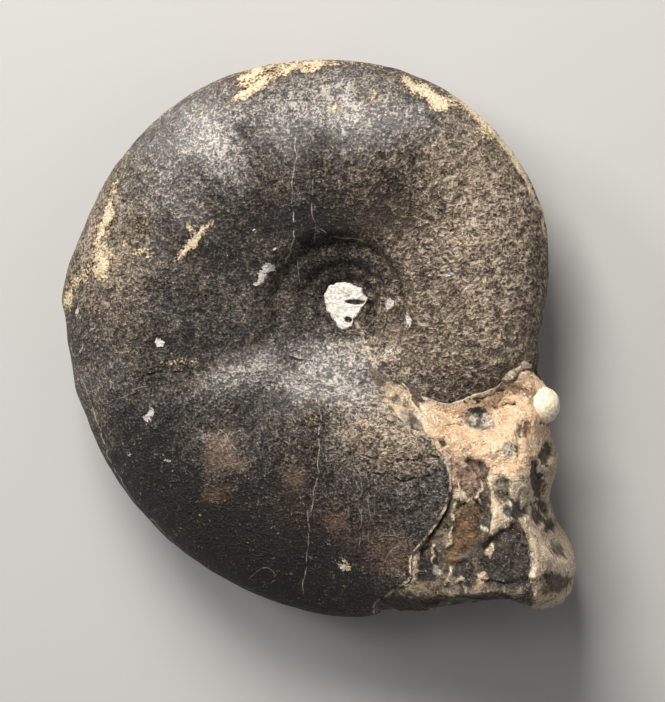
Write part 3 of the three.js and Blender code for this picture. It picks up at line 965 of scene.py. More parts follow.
# %% Walls and cracks of the chambers
CHAMBER_WALLS = [
    ("dark", 0.2, -0.5, [  # crack over the soft rock
        (19.9, -15.2), (21.4, -15.6), (22.8, -15.7), (24.3, -15.2), (25.8, -14.9)
    ]),
    ("dark", 0.25, -0.5, [  # round the orange chamber
        (15.9, -33), (16.8, -31.6), (18, -30.9), (19.1, -31.3), (20.1, -32.2), (20.7, -33.7)
    ]),
    ("dark", 0.3, -0.5, [  # into the largest hollow
        (24, -35.6), (22.8, -36.5), (21.7, -37.6), (20.6, -38.7)
    ]),
    # Dark line at the foot of the turn before: painted shadow under its edge, in a shallow groove.
    ("dark", 0.2, -0.4, [  # foot of the turn before
        (19.4, -14.9), (21.7, -14.1), (23.8, -13), (25.6, -11.5), (27.2, -9.9)
    ]),
    # Dark line under the nodule: painted shade beneath it.
    ("dark", 0.2, -0.2, [  # nodule under
        (29.8, -18.5), (31.1, -18.8), (32.2, -18.5)
    ]),
    ("cream", 0.2, 0.15, [  # tongue right
        (7.6, -12.2), (8.7, -13.9), (9.4, -15.6), (10.4, -16.7), (11.2, -18), (12.5, -18.6)
    ]),
    ("cream", 0.18, 0.1, [  # tongue left
        (4.5, -14.4), (5.5, -15.7), (6.8, -17.3), (8.1, -19), (9.6, -19.9)
    ]),
    ("cream", 0.22, 0.2, [  # pink rim
        (16.7, -27.7), (17, -29.6), (17.8, -30.9), (18.8, -30.9), (19.8, -30), (20.4, -28.4)
    ]),
    ("cream", 0.22, 0.2, [  # left of the orange chamber
        (16, -31.4), (15.7, -32.9), (15.6, -34.5), (15.2, -36.1), (15.2, -37.9), (14.6, -38.4)
    ]),
    ("cream", 0.18, 0.2, [  # below it
        (15.2, -40.7), (15.4, -42.3), (14.9, -43.6), (14.4, -45)
    ]),
    ("cream", 0.2, 0.2, [  # arch, low middle
        (16, -44.4), (16.8, -43.7), (17.3, -44.7), (17.8, -46.2)
    ]),
    ("cream", 0.16, 0.2, [  # arch, low left
        (12, -38.7), (12.6, -39.7), (12.2, -41)
    ]),
    ("cream", 0.22, 0.2, [  # short wall
        (11.7, -37.6), (12.5, -38.2), (12.2, -38.9)
    ]),
    ("white", 0.3, 0.2, [  # fleck 1
        (24.8, -31.4), (25.3, -31.6)
    ]),
    ("white", 0.28, 0.2, [  # fleck 2
        (27.2, -31.3), (27.5, -32.1)
    ]),
    ("white", 0.25, 0.2, [  # fleck 3
        (20.2, -35.5), (21.1, -35.8)
    ]),
    ("white", 0.3, 0.2, [  # fleck 4
        (28.5, -43.4), (29, -43.6)
    ]),
]
print("walls and cracks of the chambers:", len(CHAMBER_WALLS))

# %% Walls and veins of the side
SIDE_WALLS = [
    ("tan", 0.15, 0.2, [  # crest
        (26.6, -34.8), (27.5, -36.8), (28.4, -38.1), (28.8, -39.4), (28.7, -41), (29.2, -42.3),
        (28.7, -43.9), (29.5, -45.5), (29, -47.6)
    ]),
    ("cream", 0.15, 0.1, [  # beside the lens
        (26.7, -28), (27.5, -28.8), (28.4, -29.8)
    ]),
    ("white", 0.15, 0.15, [  # on the side
        (30, -25.1), (30.6, -26.7), (30.9, -28)
    ]),
    ("sand", 0.3, 0.2, [  # lens band
        (24.8, -27.4), (25.4, -29), (25.9, -30.6), (26.2, -31.6)
    ]),
    ("cream", 0.3, 0.3, [  # ridge under the nodule
        (32.2, -18.6), (31.3, -20.2), (30.3, -22), (29.3, -23.8)
    ]),
    ("sand", 0.22, 0.2, [  # outer left wall
        (9.9, -39.4), (10, -41), (9.4, -42.6), (9.1, -43.9), (7.9, -44.7)
    ]),
    ("cream", 0.16, 0.1, [  # thin line on the side
        (28.5, -30.9), (30, -32.6), (30.8, -34)
    ]),
    ("cream", 0.2, 0.1, [  # thin line, low
        (29, -38.2), (29.8, -40.7), (30, -43.1)
    ]),
    ("cream", 0.22, 0.15, [  # vein across
        (28.7, -37.9), (30, -38.1), (31.2, -39.2), (32.6, -40.4), (33.9, -41.6)
    ]),
    ("sand", 0.25, 0.15, [  # vein down
        (30.2, -35.4), (29.3, -37), (29.3, -39.2), (29.2, -41), (29.8, -43.3), (30.6, -44.8)
    ]),
    ("cream", 0.2, 0.1, [  # vein right
        (31.9, -42.2), (32.9, -41.2), (34.1, -40.6), (35.3, -39.6)
    ]),
    # Cream line along the far rim: partly painted highlight along the lit right edge of the broken face.
    ("cream", 0.25, 0.15, [  # far rim
        (33, -34.6), (34.2, -36.8), (35.6, -38.8), (36.4, -41.2), (36.3, -43.4)
    ]),
    ("white", 0.3, 0.2, [  # fleck 5
        (28.9, -42.3), (28.8, -43.1)
    ]),
    ("dark", 0.25, -0.2, [  # side joint
        (30.8, -32.6), (31.1, -33.6)
    ]),
    ("tan", 0.05, 0.1, [  # bottom crest
        (13.8, -45.6), (16.2, -46.1), (18.6, -46.2), (21.2, -46), (24, -46), (26.4, -45.6),
        (28.2, -46.4), (29.2, -47.3)
    ]),
]
WALLS = CHAMBER_WALLS + SIDE_WALLS
print("walls and cracks in all:", len(WALLS))

# %% [markdown]
# ## Colour and depth of the broken end
# Each kind of stone has one colour. Laid on flat, the patches would look like a map, so their edges
# are broken up by a little noise in the place itself before the distances are taken, because nothing
# in stone has a clean outline, and pale and dark blotches run through them all.
# %% Colours of the stones
STONES = {
    "peach": (0.60, 0.42, 0.265), "tan": (0.42, 0.33, 0.23), "drab": (0.11, 0.088, 0.065),
    "grit": (0.50, 0.42, 0.315), "cream": (0.62, 0.51, 0.36), "ash": (0.28, 0.25, 0.21),
    "slate": (0.07, 0.065, 0.058), "olive": (0.26, 0.215, 0.14), "amber": (0.50, 0.30, 0.14),
    "rose": (0.38, 0.26, 0.185), "umber": (0.105, 0.072, 0.05), "dusk": (0.23, 0.15, 0.105),
    "moss": (0.12, 0.095, 0.065), "ochre": (0.125, 0.075, 0.036), "soot": (0.034, 0.029, 0.025),
    "sand": (0.50, 0.41, 0.29), "flint": (0.12, 0.105, 0.075), "white": (0.8, 0.74, 0.62),
    "dark": (0.035, 0.026, 0.018), "clay": (0.27, 0.225, 0.17),
}
print("kinds of stone:", len(STONES))


# %% Distance past the turn before
OVERLAP = 0.7


def past_turn(points):
    """How far a point is from the line where the turn before comes out, and less than nought
    beyond it, where that turn stands free."""
    return OVERLAP - depth_inside(*on_sheet(points), TURN_BEFORE)


print("the axis, from where the turn before comes out, mm:", past_turn(np.array([[0.0, 0, 5]])).round(1))

# %% Depth and colour of the broken end
LOST_SKIN = 0.6
LIP = 0.15
COLLAR_MIDDLE = (30.6, -15.6)
COLLAR_REACH = 2.5
COLLAR_HEIGHT = 0.6
COLLAR_SLOPE = 1.3
RAGGED_EDGE = 0.26
SUNK_SHARE = 0.7
STEP_OF_DEPTH = 0.9
STEP_OF_COLOUR = 0.3
LIP_WIDTH = 2.5
WALL_FOOT = 0.1
WALL_FADE = 0.2
FOOT_SHADE_LEVEL = -46.3
FOOT_SHADE_SIDE = 30
FOOT_SHADE = 0.65
LIP_SHADE = 0.75


def filling_marks(points, row):
    """Depth and colour of the broken end. Both start plain; each patch is mixed in by an eased
    step of the distance inside it, and each line, broken up by noise, by one of its half width
    less the distance. Towards the turn before, the filling rises to a low lip over it. The foot
    of the broken end and the edge beyond the lip are darkened as painted shade."""
    ragged = np.stack([rough(points, 1.6, 60), rough(points, 1.6, 70)], axis=1)
    ragged += 0.6 * np.stack([rough(points, 0.6, 62), rough(points, 0.6, 72)], axis=1)
    flat_u, flat_v = on_sheet(points)
    real_u, real_v = on_sheet(points, mirrored=False)
    u = np.where(row < 2, real_u, flat_u) + RAGGED_EDGE * ragged[:, 0]
    v = np.where(row < 2, real_v, flat_v) + RAGGED_EDGE * ragged[:, 1]
    depth = np.full(len(points), -LOST_SKIN)
    colour = np.tile(STONES["grit"], (len(points), 1))
    for stone, sunk, bulge, outline in PATCHES:
        inside = depth_inside(u, v, outline)
        share = smooth(inside / STEP_OF_DEPTH + 0.5)
        shape = SUNK_SHARE * sunk + bulge * (1 - np.exp(-np.maximum(inside, 0)))
        depth = depth + (shape - depth) * share
        tint = smooth(inside / STEP_OF_COLOUR + 0.5)[:, None]
        colour = colour + (np.array(STONES[stone]) - colour) * tint
    beyond = past_turn(points)
    away = smooth(beyond / LIP_WIDTH)
    depth = depth * away + LIP * (1 - away)
    from_nodule = np.hypot(flat_u - COLLAR_MIDDLE[0], flat_v - COLLAR_MIDDLE[1])
    outside = np.maximum(from_nodule - COLLAR_REACH, 0)
    depth += COLLAR_HEIGHT * np.exp(-(outside / COLLAR_SLOPE) ** 2) * (row < 1.5)
    broken_up = smooth((rough(points, 0.8, 88) + 0.7) / 0.7)
    for stone, half_width, height, line in WALLS:
        near = line_distance(u, v, line)
        depth += height * np.exp(-(near / (half_width + WALL_FOOT)) ** 2)
        tint = (smooth((half_width - near) / WALL_FADE + 0.5) * broken_up)[:, None]
        colour = colour + (np.array(STONES[stone]) - colour) * tint
    # Painted shade: darker at the foot of the broken end, and past the lip where the filling runs under
    # the turn before.
    under = smooth((FOOT_SHADE_LEVEL - real_v) / 1.2) * smooth((FOOT_SHADE_SIDE - real_u) / 3)
    painted_shade = np.maximum(FOOT_SHADE * under, LIP_SHADE * smooth((-beyond - 0.2) / 0.5))
    return depth, colour * (1 - painted_shade)[:, None]


one_depth, one_colour = filling_marks(np.array([[25.0, -20, 9]]), np.array([0.5]))
print("depth and colour in the soft rock:", one_depth.round(2), one_colour.round(2))

# %% [markdown]
# The broken end has to meet the turn before without a gap and without a wall. Where that turn stands
# free, the filling dives under it. Pushed in along its own normals it would fold over itself, so all
# its points there move the same way. Everywhere else it is kept just above that turn.
# %% Where the turn before comes out
DIVE_WAY = np.array([-1.1, 0.1, -2.1])
DIVE_WIDTH = 0.8
CLEARANCE = 0.12
FREE_DROP = 2.6
NAVEL_CLEAR = 8


def dived(points):
    """Beyond the line where the turn before comes out, the filling dives: every point there moves
    the same way, inwards and down, by an eased step of its distance past the line."""
    beyond = past_turn(points)
    way = np.where(points[:, 2:] > 0, DIVE_WAY, DIVE_WAY * (1, 1, -1))
    return points + way * smooth(-beyond / DIVE_WIDTH)[:, None]


def over_turn(points):
    """Keeps the filling just over the turn before: its height is at least that turn's height at
    the same place, less a drop on the far side of the line where the turn comes out."""
    x, y, z = points.T
    radius = np.hypot(x, y)
    angle = np.degrees(np.arctan2(y, x)) % 360
    before = flank_height(angle - 360, radius, WHORLS - 1)
    beyond = past_turn(points)
    least = before + CLEARANCE - FREE_DROP * smooth(-beyond / DIVE_WIDTH)
    covers = (z > 0) & (radius < rim_radius(angle - 360)) & (radius > NAVEL_CLEAR)
    return np.stack([x, y, np.where(covers, np.maximum(z, least), z)], axis=1)


print("one point dived:", dived(np.array([[10.0, 0, 9]])).round(2))


# %% Blotches and even directions
ALONG_AXIS = 0.35
BLOTCH_SIZE = 0.9
CLOUD_SIZE = 2.1
CLOUD_STRENGTH = 0.55
PALE_BLOTCH = 0.75
DARK_BLOTCH = 0.8


def mottled(points, colour):
    """Stone with pale and dark blotches: noise above its mean mixes in pale, and below it dark.
    Pale stone is more even than dark stone, so the share falls with the colour's brightness."""
    flattened = points * (1, 1, ALONG_AXIS)
    blotch = rough(flattened, BLOTCH_SIZE, 85)
    light = colour.mean(axis=1)
    uneven = 1 - 0.85 * smooth((light - 0.3) / 0.15)
    colour = colour * np.exp(CLOUD_STRENGTH * uneven * rough(flattened, CLOUD_SIZE, 87))[:, None]
    pale = (PALE_BLOTCH * uneven * smooth((light - 0.06) / 0.2) * smooth((blotch - 0.3) / 0.5))[:, None]
    dark = (DARK_BLOTCH * uneven * smooth((-blotch - 0.2) / 0.4))[:, None]
    colour = colour + (np.array(STONES["sand"]) - colour) * pale
    return colour + (np.array(STONES["soot"]) - colour) * dark


def calmed(directions, columns, rows, passes):
    """Directions of a swept net evened out: each is averaged with its neighbours along the row and
    along the column, many times, so that deep marks don't cross each other at an edge."""
    net = directions[:columns * rows].reshape(columns, rows, 3)
    for _ in range(passes):
        net = (net + np.roll(net, 1, axis=1) + np.roll(net, -1, axis=1)) / 3
        net[1:-1] = (net[:-2] + net[1:-1] + net[2:]) / 3
    net = net / np.linalg.norm(net, axis=2, keepdims=True)
    return np.vstack([net.reshape(-1, 3), directions[columns * rows:]])


print("a grey point, blotched:", mottled(np.zeros((1, 3)), np.full((1, 3), 0.3)).round(3))

# %% Mesh of the broken end
CALMING = 60
END_SINK = 2.2
SINKS_FROM = 343
SINKS_OVER = 7
SHARP_FILLING = 60

filling_flat = swept_points(filling_smooth)
filling = new_mesh("broken_end", filling_flat, filling_faces)
filling_out = calmed(normals_of(filling), *filling_angle.shape, CALMING)
filling_rows = np.r_[filling_row.ravel(), 1.5, 1.5]
towards_end = np.r_[filling_angle.ravel(), TURN_END, FILLING_END]
filling_depth, filling_colour = filling_marks(filling_flat, filling_rows)
filling_colour = mottled(filling_flat, filling_colour)
filling_depth -= END_SINK * smooth((towards_end - SINKS_FROM) / SINKS_OVER)
filling_depth += 0.16 * rough(filling_flat, 2.2, 41) + 0.13 * rough(filling_flat, 0.8, 42)
filling_coil = over_turn(dived(filling_flat + filling_out * filling_depth[:, None]))
move_points(filling, laid(filling_coil))
filling.data.set_sharp_from_angle(angle=np.radians(SHARP_FILLING))
paint(filling, "stone_colour", filling_colour)
print("broken end, deepest and highest, mm:", filling_depth.min().round(2), filling_depth.max().round(2))

# %% [markdown]
# ## The nodule
# A pale pea of limestone sits in the broken face, at the point that reaches furthest out. It is round
# because it grew in the mud before the mud set hard. Blender's own ball would do, but it is too even.
# So the directions over a ball are worked out here, and a little relief keeps it from being plain.
# %% Nodule
NODULE_MIDDLE = np.array([31.3, -15.5, 2.0])
NODULE_REACH = np.array([2.6, 2.85, 2.4])
NODULE_ROWS = 60
NODULE_COLUMNS = 96


def ball_points(rows, columns):
    """Directions over a ball: rows from pole to pole, without the poles, then both poles."""
    down = np.pi * np.arange(1, rows)[:, None] / rows
    round_ = 2 * np.pi * np.arange(columns)[None, :] / columns
    grid = np.stack([
        np.sin(down) * np.cos(round_),
        np.sin(down) * np.sin(round_),
        np.cos(down) * np.ones_like(round_),
    ], axis=2)
    return np.vstack([grid.reshape(-1, 3), [[0, 0, 1], [0, 0, -1]]])


def ball_faces(rows, columns):
    """Faces of a ball: those of a profile carried along, turned over so that they look outwards."""
    return [[face[0], *face[:0:-1]] for face in swept_faces(rows - 1, columns)]


nodule_way = ball_points(NODULE_ROWS, NODULE_COLUMNS)
nodule_swell = 1 + 0.05 * rough(nodule_way, 1.1, 81) + 0.012 * rough(nodule_way, 0.25, 82)
nodule_coil = NODULE_MIDDLE + NODULE_REACH * nodule_way * nodule_swell[:, None]
nodule = new_mesh("nodule", laid(nodule_coil), ball_faces(NODULE_ROWS, NODULE_COLUMNS))
print("nodule points:", len(nodule_coil))

# %% [markdown]
# ## Chalk in the navel
# The first turns are hidden under a plug of chalk, with a slit and a small pit in it. It could be a
# patch of white on the shell, but it stands out and casts a shadow. So it is a low cushion with an
# irregular outline: rings shrink from the outline to its middle, the top swells a little, and the edge
# turns down into the navel's floor.
# %% Outline of the chalk
CHALK_OUTLINE = [
    (-4.2, 3.9), (-2.3, 4.1), (-0.6, 3.9), (0.6, 3.2), (1.5, 2.3), (1.7, 1.5), (1.4, 0.5),
    (0.8, -0.2), (0.3, -1.1), (-0.4, -1.8), (-0.8, -2.8), (-1.5, -3.3), (-2.3, -3.5), (-2.8, -3.1),
    (-3.4, -2.4), (-3.9, -1.5), (-4.5, -0.5), (-5, 0.5), (-5.2, 1.6), (-4.9, 2.8), (-4.5, 3.6),
]
CHALK_SLIT = [(-1.8, 1.2), (-1, 1.4), (0.3, 1.4), (1.4, 1.1), (1.1, 0.7), (-0.2, 0.6), (-1.5, 0.9)]
CHALK_PIT = [(-1.9, -1.6), (-1.5, -1.3), (-0.8, -1.5), (-0.6, -1.9), (-1, -2.3), (-1.7, -2.1)]
CHALK_MIDDLE = np.array([-1.9, 0.6])


def chalk_edge(turn):
    """Distance from the middle to the outline in each direction: the outline's own points turned
    to directions and distances, joined by straight steps, and made ragged by a little noise."""
    across = np.array(CHALK_OUTLINE) - CHALK_MIDDLE
    turns = np.arctan2(across[:, 1], across[:, 0])
    order = np.argsort(turns)
    reach = np.hypot(across[:, 0], across[:, 1])[order]
    rough_line = np.stack([3 * np.cos(turn), 3 * np.sin(turn), np.zeros_like(turn)], axis=-1)
    ragged = 0.22 * rough(rough_line.reshape(-1, 3), 0.7, 95).reshape(turn.shape)
    return np.interp(turn, turns[order], reach, period=2 * np.pi) + ragged


print("from the middle to the right edge, mm:", chalk_edge(np.zeros(1)).round(2))


# %% Chalk
CHALK_TOP = 5.0
CHALK_FOOT = 3.6
CHALK_EDGE = 0.35
EDGE_DROP = 0.8
HOLE_DEPTH = 0.8
CHALK_COLUMNS = 180
CHALK_RINGS = 44


def chalk_surface():
    """Points on the slanted sheet with a height, and how far each is inside a hole: the height
    is the top, less an edge that turns down as a quarter circle, less the slit and the pit."""
    turn = 2 * np.pi * np.arange(CHALK_COLUMNS)[None, :] / CHALK_COLUMNS
    share = (np.arange(1, CHALK_RINGS + 1)[:, None] / CHALK_RINGS) ** 0.8
    reach = chalk_edge(turn)
    u = (CHALK_MIDDLE[0] + share * reach * np.cos(turn)).ravel()
    v = (CHALK_MIDDLE[1] + share * reach * np.sin(turn)).ravel()
    place = np.stack([u, v, np.zeros_like(u)], axis=1)
    inward = (reach * (1 - share)).ravel()
    rim = np.clip(inward / CHALK_EDGE, 0, 1)
    hole = np.maximum(depth_inside(u, v, CHALK_SLIT), depth_inside(u, v, CHALK_PIT))
    height = CHALK_TOP - EDGE_DROP * (1 - np.sqrt(1 - (1 - rim) ** 2))
    height += 0.14 * rough(place, 1.6, 91) * rim - HOLE_DEPTH * smooth(hole / 0.25 + 0.5)
    return u, v, height, hole


chalk_u, chalk_v, chalk_z, chalk_hole = chalk_surface()
chalk_x = (chalk_u + chalk_z * np.sin(TURN_TO_SIDE)) / np.cos(TURN_TO_SIDE)
chalk_upper = np.stack([chalk_x, chalk_v, chalk_z], axis=1)
chalk_rim = chalk_upper[-CHALK_COLUMNS:]
chalk_lower = np.stack([chalk_rim[:, 0], chalk_rim[:, 1], np.full(CHALK_COLUMNS, CHALK_FOOT)], 1)
chalk_poles = np.array([chalk_upper[:CHALK_COLUMNS].mean(0), chalk_lower.mean(0)])
chalk_coil = np.vstack([chalk_upper, chalk_lower, chalk_poles])
chalk_net = ball_faces(CHALK_RINGS + 2, CHALK_COLUMNS)
chalk = new_mesh("navel_chalk", laid(chalk_coil), chalk_net)
paint(chalk, "hole", np.r_[chalk_hole, np.full(CHALK_COLUMNS + 2, -1.0)])
print("chalk points:", len(chalk_coil))

# %% [markdown]
# ## What the shell wears
# The skin is dark, nearly black where it is whole. On it lie crusts of tan and cream lime near the
# rim, a few white specks, rust, and fine pale dust that fills every pore. Noise alone would spread
# them evenly, but each has its own place. So each is a list of soft spots: middle, reach along and
# across in mm, turn in degrees, and strength. Negative dust leaves the skin bare and dark; the spots
# that take dust away low on the flank and at the top of the navel are painted shade. The thin pale
# line along the upper right rim is crust, and partly painted highlight where the rim catches the light.
# %% Crusts and specks
CRUST = [
    (-15.9, 36.5, 3.89, 1.5, 35, 1), (-18.3, 34.5, 1.62, 0.81, 40, 0.8),
    (-7.5, 39.4, 3.56, 1.0, 3, 0.75), (-11, 38.4, 1.3, 0.97, 0, 0.7), (-3.2, 32.7, 1.13, 0.97, 0, 0.75),
    (0.2, 35.5, 0.97, 0.81, 0, 0.5), (2.9, 33.9, 1.13, 0.97, 0, 0.6), (11, 35, 3.2, 1.4, -35, 1.35),
    (13.8, 33.7, 1.8, 1.1, -30, 1.1), (17.2, 32.9, 3.2, 0.9, -42, 0.6),
    (20.9, 29.5, 1.6, 1.3, -50, 1.1),
    (-40.4, 15.4, 4.3, 0.75, 70, 1.3), (-41.6, 8.6, 3.2, 1.9, 80, 0.75),
    (-41.5, 6.3, 2.8, 1.7, 80, 0.6), (-45.5, 3.9, 3.24, 0.97, 72, 0.8),
    (-46.8, 1, 1.62, 0.81, 80, 0.8), (-35, 9.4, 2.6, 1, -20, 0.7), (-34.6, 14.4, 2, 0.9, 50, 0.45),
    (-38, 11.4, 2, 0.8, 75, 0.5), (-26.3, 11.1, 4.9, 0.6, 50, 1.4),
    (-26.9, 13.1, 1.94, 0.57, 75, 0.7), (-29.2, -9.1, 4.21, 0.65, 8, 0.5),
    (-7.8, -18, 2.27, 0.97, -10, 0.5), (-6.2, -14.7, 1.3, 0.81, 0, 0.4),
    (4.4, -23.2, 3.56, 0.81, 0, 0.5), (1, -21.2, 1.62, 0.81, 0, 0.5),
    (-2.1, -41.8, 1.13, 0.97, 0, 0.95), (16.7, 11.2, 0.65, 1.46, 12, 0.95),
    (-17.2, 37.9, 2.27, 0.65, 30, 0.8), (-38.2, 20.9, 2.27, 0.65, 60, 0.5),
    (-25.3, 30.9, 3.24, 0.49, 45, 0.45), (18.5, 22.5, 4.86, 3.24, -60, 0.25),
    (16, 1.5, 2.59, 3.56, 0, 0.35), (23.3, 24.1, 3.24, 2.27, -50, 0.3),
]
# Thin pale line along the upper right rim: crust, and partly painted highlight where the rim catches the
# light.
RIM_LINE = [
    (17.6, 33.3, 3.9, 0.4, -42, 1.3), (24.7, 25.8, 4.5, 0.4, -52, 1.4),
    (28.2, 19.6, 4.54, 0.34, -65, 1.4), (30.5, 13.7, 3.8, 0.26, -78, 1.2),
]
WHITE = [
    (-32.2, -5.5, 0.97, 0.81, 20, 1.3), (-34, -17.7, 0.97, 0.81, 0, 1.1),
    (-33, -16.8, 0.49, 0.49, 0, 0.9), (-45.2, -0.3, 0.36, 0.89, -8, 1.2),
    (-15.1, 5.3, 1.3, 0.81, 50, 1.1), (-13.8, 6.6, 0.97, 0.65, -30, 1.1),
    (-16.2, 4.2, 0.65, 0.49, 0, 0.8), (5.5, 0.8, 0.68, 0.81, -20, 1.4), (8.3, -1.9, 0.58, 1.3, 12, 1.4),
    (14.6, 5.5, 1.05, 0.49, 35, 1.2), (-0.8, -7.9, 1.3, 0.29, 0, 1.1),
    (-30.5, -24.9, 0.81, 0.36, 0, 0.9), (-29.8, -26.1, 0.49, 0.32, 0, 0.9),
    (-14.4, -30.5, 0.73, 0.49, 0, 0.8), (-36.6, -23.7, 0.65, 0.49, 0, 0.7),
    (-2.1, -41.6, 0.97, 0.65, 0, 1), (-16.7, 13.1, 0.32, 0.49, 0, 1.1),
    (-13.3, 9.6, 0.41, 0.49, 0, 0.9), (5.5, -7, 1.62, 0.81, 10, 0.75), (-5, -6.6, 2.27, 0.97, 10, 0.6),
    (-7.6, -18.8, 0.65, 0.49, 0, 0.7), (12.3, 5, 0.49, 0.41, 0, 0.6), (6.3, -24.9, 0.49, 0.32, 0, 0.9),
    (21.1, 17.7, 0.32, 0.49, 0, 0.8), (-24.8, -1.5, 0.49, 0.32, 0, 0.5),
]
print("spots of crust and white:", len(CRUST) + len(RIM_LINE), len(WHITE))

# %% Rust, polish and dust
RUST = [
    (-21.2, -22.3, 3.2, 2.0, -42, 0.8), (-23.4, -24.2, 2.2, 2.6, 0, 0.75),
    (-18.9, -24.6, 2.4, 1.5, -25, 0.65), (-13, -19, 3.4, 1.4, 5, 0.55),
    (2, -36, 10, 8, 0, 0.4), (-14, -32, 12, 9, 0, 0.36),
    (-23.3, -29.6, 2.27, 1.94, 0, 0.65), (-9.1, -26.1, 3.24, 2.27, 0, 0.35),
    (-10.7, -27.7, 1.62, 1.3, 0, 0.4), (-3.4, -34.2, 1.62, 1.3, 0, 0.35),
    (6.3, -40.7, 3.89, 3.89, 0, 0.5), (13.6, -26.1, 1.94, 4.86, 0, 0.25),
    (-33.4, -35.8, 4.86, 2.59, -45, 0.35), (-27.7, -38.2, 4.86, 1.62, -38, 0.35),
    (6.3, -15.6, 2.27, 1.62, 0, 0.3), (0.6, 11.2, 6.48, 1.62, 0, 0.4), (-20.4, 6.3, 3.24, 1.62, 0, 0.3),
]
POLISH = [
    (-27, 27.2, 7.5, 6.5, 45, 1.0), (-6, 29, 14, 5.5, 0, 0.9), (-9, -12.5, 14, 4.5, -5, 0.9),
    (-3, -7.5, 10, 3.5, 0, 0.6), (-30, 12, 9, 7, 30, 0.4), (8, 30, 7, 5, -20, 0.5),
]
# Dust spots with painted shade: the negative ones low on the flank and at the top of the navel darken
# the skin where it faces away from the light.
DUST_AND_PAINTED_LIGHT = [
    (-21.2, 26.6, 6.8, 6.48, 0, 0.2), (-5.8, 33.9, 15.39, 5.18, 0, 0.3),
    (-30.1, 17.7, 9.72, 8.1, 45, 0.18), (20.1, 17.7, 9.72, 12.96, 0, 0.3),
    (20.1, -0.2, 10.04, 9.72, 0, 0.26), (-9.1, -11.2, 12.96, 3.24, -6, 0.26),
    (-1.8, -7, 9.72, 2.27, 0, 0.22), (-41.5, 11.2, 5.51, 9.72, 0, 0.3),
    (3.1, -18.8, 9.72, 6, 0, 0.3), (-10.7, 12, 1.94, 6.48, 0, 0.12),
    (-30.9, -12.3, 11.34, 1.94, 12, 0.14), (7.1, -6.6, 9.72, 2.92, 0, 0.12),
    (10.4, -21.2, 4.86, 3.24, 0, 0.12), (-36.6, 29, 3.24, 9.72, -35, 0.1),
    (-3.4, 14.1, 13.77, 3.89, 0, -0.34), (-23.7, -6.6, 9.72, 2.59, 0, -0.18),
    (-26.9, -35.8, 14.58, 9.72, -30, -0.45), (-9.1, -40.7, 17.82, 9.72, 0, -0.4),
    (7.1, 17.7, 7.45, 4.86, 0, -0.16), (-16.8, -17, 7.5, 3.2, 0, 0.08),
    (-31.8, 1.5, 8.1, 4.86, 0, 0.04), (-22, -22.5, 4.6, 3.4, -30, 0.26),
    (8, -22, 9, 8, 0, 0.06), (12, -6.6, 4.86, 3.24, 0, -0.1),
    (20.1, -12.3, 9.72, 2.27, 12, -0.16), (-4.2, 6.3, 8.1, 2.92, 0, -0.2),
    (-23.7, 9.6, 9.72, 4.86, 0, -0.12), (-33.4, -19.6, 6.48, 9.72, 0, -0.22),
    (-15.6, -26.1, 9.72, 8.1, 0, -0.12),
]
print("spots of rust, polish and dust:", len(RUST), len(POLISH), len(DUST_AND_PAINTED_LIGHT))

# %% [markdown]
# ## Veins and cracks
# Cracks ran through the shell when it was pressed. Some stayed open and are dark, and others were
# healed by white crystal and are veins. A painted line thinner than the net would come and go, so what
# is painted is the distance with its side, and the finish draws the line where it passes through
# nought. A vein has a strength, and all cracks are equally strong.
# %% Veins and cracks
VEINS = [
    (0.9, [(-9.7, 28.2), (-10.2, 21.7), (-10.4, 15.2), (-10.2, 11.2), (-10.7, 8.6), (-11.5, 7.6)]),
    (0.45, [(-7.3, 20.9), (-7, 15.2), (-6.5, 10.4)]),
    (0.75, [(-6.2, 13.1), (-4.2, 11.8), (-1.8, 11.5), (1.5, 10.7)]),
    (0.9, [(-6.2, -14.7), (-6, -18.8), (-6, -22), (-6.3, -26.1), (-7.1, -30.9), (-7.3, -32.9)]),
    (0.9, [(-7.8, -32.6), (-7.6, -35.8), (-7.9, -40.7), (-8.1, -43.1), (-8.6, -45.8)]),
    (0.4, [(0.2, -25.4), (0.6, -29.3), (0.6, -38.2)]),
    (0.35, [(1.5, -26.1), (2.1, -32.6), (2.1, -38.2)]),
    (1, [(-42.3, -2.9), (-43.4, -3.6), (-44.2, -4.2), (-44.2, -5.5), (-45, -7)]),
    (0.7, [(-22.5, -19.3), (-20.7, -20.9), (-19.4, -22.4)]),
    (0.6, [(-13.9, -19.8), (-12.3, -20.7), (-11, -22)]),
    (0.8, [(-46.3, -5.3), (-45.4, -8.6), (-43.7, -12.3), (-42, -18.8), (-41, -21.2),
         (-39.5, -25.4), (-36.3, -30.5), (-31.8, -35.8), (-26.1, -41), (-20.4, -44.7)]),
    (0.5, [(-9.6, 7.6), (-9.1, 3.1), (-9.2, 0.6)]),
    (0.5, [(-16.8, -43.2), (-16.1, -42.4), (-15.3, -41.9), (-14.4, -41.8), (-13.7, -42.1),
         (-13, -42.9)]),
    (0.4, [(-19.9, -44.6), (-17.4, -45.3), (-15.3, -44.9), (-12.3, -44.3)]),
    (0.4, [(3.9, -36.8), (6.3, -36.6), (8.3, -36.9)]),
    (0.6, [(3.2, -1.5), (4.7, -0.2), (5.5, 1.5)]),
    (0.45, [(-1.8, -3.4), (1, -3.6), (3.2, -1.8)]),
    (0.8, [(19.1, -14.3), (21.2, -13.4), (23.3, -12.3), (24.9, -11), (26.6, -9.4)]),
    (0.4, [(-42, -13.4), (-40.7, -15.4), (-38.2, -14.4), (-33.4, -12.3)]),
    (0.4, [(7.1, -38.2), (5.5, -39.4), (4.5, -41)]),
]
